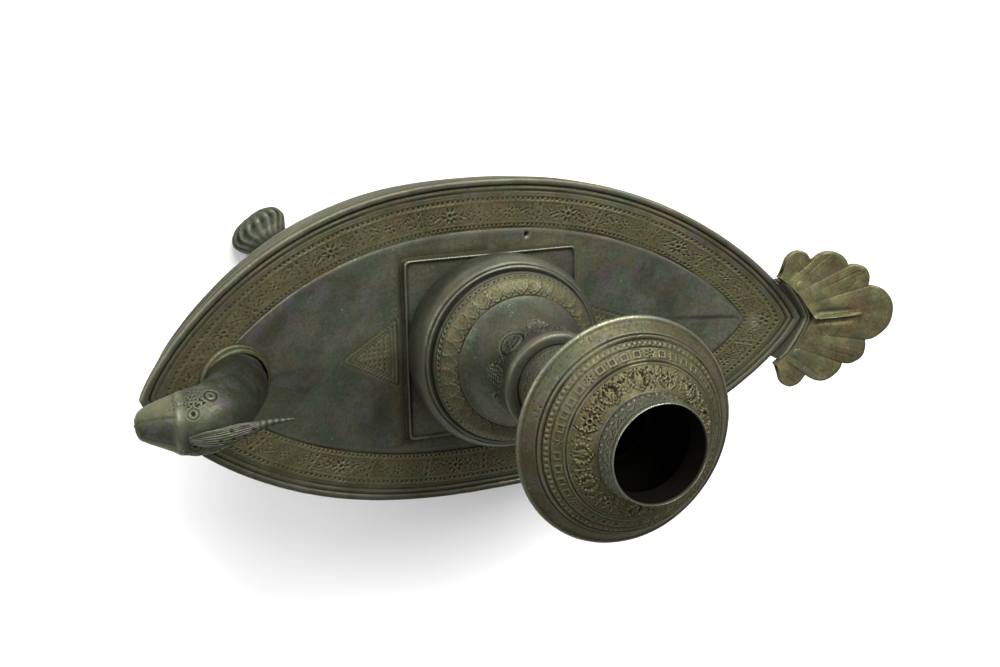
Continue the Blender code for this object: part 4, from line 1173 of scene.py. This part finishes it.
def make_palmette():
    """The cast palmette: seven cupped lobes with veins, and a sharp midrib."""
    count = 420
    outline, lobe = palmette_line(count)
    root = evenly([(117.8, 18.0), (122.8, 14.1), (128.0, 8.9), (134.4, 0.0), (128.0, -8.9), (122.8, -14.1),
                   (117.8, -18.0)], count)
    edges = np.nonzero(np.diff(lobe))[0]
    bounds = np.concatenate([[0], edges + 0.5, [count - 1]])
    column = np.arange(count)
    part = np.clip(np.searchsorted(bounds, column, side="right") - 1, 0, len(bounds) - 2)
    within = (column - bounds[part]) / (bounds[part + 1] - bounds[part])
    rows = 110
    share = np.linspace(0, 1, rows)[:, None]
    plan = root[None] * (1 - share[..., None]) + outline[None] * share[..., None]
    dome = np.sin(np.pi * within)[None, :]
    z = tail_height(plan[..., 0])
    z = z + (0.62 * dome ** 0.6 - 0.5) * np.clip(share * 1.6, 0, 1)
    z = z - (0.14 * np.exp(-((within - 0.5) / 0.05) ** 2)[None, :]
             * np.clip(share * 3 - 0.6, 0, 1) * (share < 0.9))
    for vein in (0.12, 0.24, 0.37, 0.63, 0.76, 0.88):
        z = z - 0.045 * np.exp(-((within - vein) / 0.035) ** 2)[None, :] * np.clip(share * 4 - 1.6, 0, 1)
    z = z - 0.5 * np.clip((share - 0.93) / 0.07, 0, 1) ** 2
    x, y = plan[..., 0], plan[..., 1]
    rib = np.clip((x - 133) / 3, 0, 1) * np.clip((157 - x) / 9, 0, 1)
    z = z + 1.7 * rib * np.clip(1 - np.abs(y) / 1.1, 0, 1)
    z = z - 0.5 * rib * np.exp(-(np.abs(y) - 2.2) ** 2)
    z = z + 0.22 * np.sin(x * 0.5 + y * 0.3) * np.sin(y * 0.4 - x * 0.2)
    top = np.stack([x, y, z], axis=-1)
    under = top[::-1].copy()
    under[..., 2] = tail_height(under[..., 0]) - 3 + 0.9 * share[::-1]
    warm = np.clip(0.4 + 0.5 * np.sin(x * 0.21) * np.cos(y * 0.19), 0, 1)
    warm = np.concatenate([warm, np.zeros(warm.shape)])
    grid = np.concatenate([top, under]).transpose(1, 0, 2)
    # Each end of the strip is walled off by one more row, with its under side folded onto its top
    ends = [grid[:1].copy(), grid[-1:].copy()]
    for end in ends:
        end[0, rows:] = end[0, :rows][::-1]
    grid = np.concatenate([ends[0], grid, ends[1]])
    values = warm.T
    values = np.concatenate([values[:1], values, values[-1:]])
    return add_grid("palmette", grid, ["tail_palmette"], leaf_metal,
                    close_rows=False, warm=values * 0.7)


def make_strap():
    """The V-shaped strap round the tip, a rounded fillet with a ledge under the palmette."""
    turns, _ = leaf_turns(2400)
    order = np.argsort((turns + math.pi) % (2 * math.pi))
    turns = turns[order]
    x, y = leaf_point(turns, 0.0)
    chosen = x > 119
    x, y = x[chosen], y[chosen]
    path = evenly(np.stack([x, y], axis=-1), 160)
    along = np.gradient(path, axis=0)
    out = np.stack([along[:, 1], -along[:, 0]], axis=-1)
    out /= np.linalg.norm(out, axis=-1, keepdims=True)
    if out[len(out) // 2, 0] < 0:
        out = -out
    foot = float(sheer(120.0)) - 1.2
    ledge = tail_height(120.0) - 3.3
    section = [(0.3, foot), (0.3, 23.2)] + [tuple(p) for p in evenly(
        rounded([(0.3, 23.2), (0.6, 24.2), (1.4, 24.5), (1.8, 23.9), (2.2, 24.3), (2.9, 24.4),
                 (3.2, 23.8)], 2),
        12)[1:]]
    section += [(3.2, ledge), (9, ledge), (9, ledge - 1.8), (3.2, foot)]
    from_end = np.minimum(np.arange(len(path)), np.arange(len(path))[::-1])
    reach = np.clip(from_end / 45, 0, 1)
    reach = 0.12 + 0.88 * reach * reach * (3 - 2 * reach)
    taper = np.sqrt(np.clip(from_end / 16, 0, 1))

    def drawn_in(distance, share):
        return distance if distance <= 3.2 else 3.2 + (distance - 3.2) * share

    grid = np.array([[(p[0] + o[0] * t * drawn_in(d, r), p[1] + o[1] * t * drawn_in(d, r),
                       foot + (h - foot) * (0.75 + 0.25 * t)) for d, h in section]
                     for p, o, r, t in zip(path, out, reach, taper)])
    return add_grid("tip_strap", start_capped(grid), ["tail_strap"], engraved,
                    close_rows=False, sharp=40)


# ---------------------------------------------------------------- feet

def hull_point(x, y):
    """The point of the hull's outer face under (x, y) and its outward normal."""
    def height(px, py):
        half_length, half_width = LEAF_LENGTH - HULL_INSET, LEAF_WIDTH - HULL_INSET
        along = abs(px) / half_length
        top = float(sheer(px)) - RIM_DEPTH - GAP
        keel = -HULL_KEEL + (HULL_KEEL + SHEER - RIM_DEPTH - GAP) * along ** HULL_KEEL_POWER
        across = abs(py) / float(leaf_width(px, half_length, half_width))
        return top - (top - keel) * (1 - across ** HULL_FULLNESS) ** (1 / HULL_FULLNESS)
    step = 0.1
    slope_x = (height(x + step, y) - height(x - step, y)) / (2 * step)
    slope_y = (height(x, y + step) - height(x, y - step)) / (2 * step)
    return Vector((x, y, height(x, y))), Vector((slope_x, slope_y, -1)).normalized()


def make_foot(name, sign_x, sign_y):
    """A cast foot that leans out to a fluted shell-shaped toe, flat underneath."""
    start, normal = hull_point(sign_x * 65, sign_y * 29.5)
    toe = Vector((sign_x * 70.5, sign_y * 37.5, 4.95 - LEVEL))
    outward = Vector((toe.x - start.x, toe.y - start.y, 0)).normalized()
    side = Vector((-outward.y, outward.x, 0))
    path = [start - normal * 0.6, start + normal * 3, start.lerp(toe, 0.45) - Vector((0, 0, 2)),
            start.lerp(toe, 0.75), toe, toe + outward * 3.5 - Vector((0, 0, 1.6)),
            toe + outward * 5.6 - Vector((0, 0, 3.4)), toe + outward * 6.2 - Vector((0, 0, 4.2))]
    widths = [6.3, 6, 6, 9.4, 12, 10.8, 6.8, 2.0]
    depths = [6.3, 6, 5.5, 7.4, 9.2, 8.4, 5.4, 1.6]
    tilts = [10, 10, 25, 45, 60, 70, 78, 80]
    fluting = [0, 0, 0.02, 0.05, 0.07, 0.08, 0.08, 0.05]
    stations = np.array([[*p, w, d, t, f] for p, w, d, t, f in zip(path, widths, depths, tilts, fluting)])
    rows, columns = 150, 216
    line = through(stations, rows)
    turn = 2 * np.pi * np.arange(columns) / columns
    lean = np.radians(line[:, 5])[:, None]
    up = np.array(outward)[None] * np.cos(lean) + np.array([[0, 0, 1.0]]) * np.sin(lean)
    twist = 0.5 * np.linspace(0, 1, rows)[:, None] * sign_x * sign_y
    flute = 1 - line[:, 6:7] * np.abs(np.cos(8 * (turn[None, :] + twist))) ** 1.5
    ring = (np.array(side)[None, None] * (line[:, 3:4] * np.cos(turn) * flute)[..., None]
            + up[:, None] * (line[:, 4:5] * np.sin(turn) * flute)[..., None])
    grid = line[:, None, :3] + ring
    grid[..., 2] = np.maximum(grid[..., 2], -LEVEL)
    return add_grid(name, start_capped(grid), [name.replace("shell_foot", "foot")], foot_metal,
                    close_rows=False, step=3)


def make_rivet(name, node, x, y):
    """A hammered rivet head."""
    outer = rounded([(1.5, 0), (1.5, 3.55), (1.9, 3.6), (2.0, 3.7), (1.6, 3.85), (0.9, 3.95), (0.05, 4.0)], 2)
    place = Matrix.Translation((x, y, tail_height(x) - 3.6))
    turned(name, outer, [(0.05, 0)], 48, 30, None, node, leaf_metal, matrix=place,
           ripple=0.04)


# ---------------------------------------------------------------- build

make_hull()
make_rim()
make_border()
make_field()
make_plinth()
make_neck()
make_bird()
make_bird_collars()
make_crest()
make_palmette()
make_strap()
for end, sx in (("front", -1), ("rear", 1)):
    for hand, sy in (("left", 1), ("right", -1)):
        make_foot(f"shell_foot_{end}_{hand}", sx, sy)
for hand, sy in (("left", 1), ("right", -1)):
    make_rivet(f"palmette_rivet_{hand}", f"tail_rivet_{hand}", TAIL_RIVET_X, TAIL_RIVET_Y * sy)
for node_name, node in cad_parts.items():
    if "foot_rivet" in node_name:
        node.data.materials.clear()
        node.data.materials.append(dark)


# ---------------------------------------------------------------- floor, lights, camera

floor_mesh = bpy.data.meshes.new("floor")
floor_mesh.from_pydata([(-40, -40, 0), (40, -40, 0), (40, 40, 0), (-40, 40, 0)], [], [(0, 1, 2, 3)])
floor = add_object("floor", floor_mesh)
paper = Nodes("white_paper")
tone = paper.ramp(paper.noise(0.004, 2), [(0.3, (0.91, 0.91, 0.905)), (0.7, (0.94, 0.94, 0.935))])
paper.link(tone, paper.shader.inputs["Base Color"])
paper.shader.inputs["Roughness"].default_value = 0.9
floor_mesh.materials.append(paper.material)

world = bpy.data.worlds.new("studio")
bpy.context.scene.world = world
world.use_nodes = True
backdrop = world.node_tree.nodes["Background"]
backdrop.inputs["Color"].default_value = (0.97, 0.985, 1, 1)
# Seen straight on the backdrop is as white as the floor; as a light it is a dim fill
seen = world.node_tree.nodes.new("ShaderNodeLightPath").outputs["Is Camera Ray"]
brightness = world.node_tree.nodes.new("ShaderNodeMapRange")
brightness.inputs["To Min"].default_value = 0.27
brightness.inputs["To Max"].default_value = 1.0
world.node_tree.links.new(seen, brightness.inputs["Value"])
world.node_tree.links.new(brightness.outputs["Result"], backdrop.inputs["Strength"])


def add_area(name, place, target, size, power):
    lamp = bpy.data.lights.new(name, "AREA")
    lamp.shape = "RECTANGLE"
    lamp.size, lamp.size_y = size
    lamp.energy = power
    light = add_object(name, lamp)
    light.location = place
    light.rotation_euler = (Vector(target) - Vector(place)).to_track_quat("-Z", "Y").to_euler()


sun_lamp = bpy.data.lights.new("window", "SUN")
sun_lamp.energy = 4.9
sun_lamp.angle = math.radians(48)
sun = add_object("window", sun_lamp)
sun.rotation_euler = Vector((-0.2, -1.0, -0.8)).to_track_quat("-Z", "Y").to_euler()
add_area("edge", (0.42, 0.80, 0.72), (0, 0, 0.10), (0.26, 0.18), 8)
add_area("fill", (-0.8, 0.45, 0.6), (0, 0, 0.08), (0.5, 0.4), 7)
add_area("top", (0.0, 0.1, 1.3), (0, 0, 0.08), (0.9, 0.9), 5)

lens = bpy.data.cameras.new("camera")
lens.lens = 44.73
lens.sensor_width = 36
lens.clip_start = 0.01
camera = add_object("camera", lens)
camera.location = (-0.164316 + MIDDLE_X * MM, 0.129693, 0.428307 + LEVEL * MM)
camera.rotation_euler = [math.radians(a) for a in (-15.2035, -22.0592, -0.7683)]
bpy.context.scene.camera = camera
bpy.context.scene.view_settings.view_transform = "Standard"
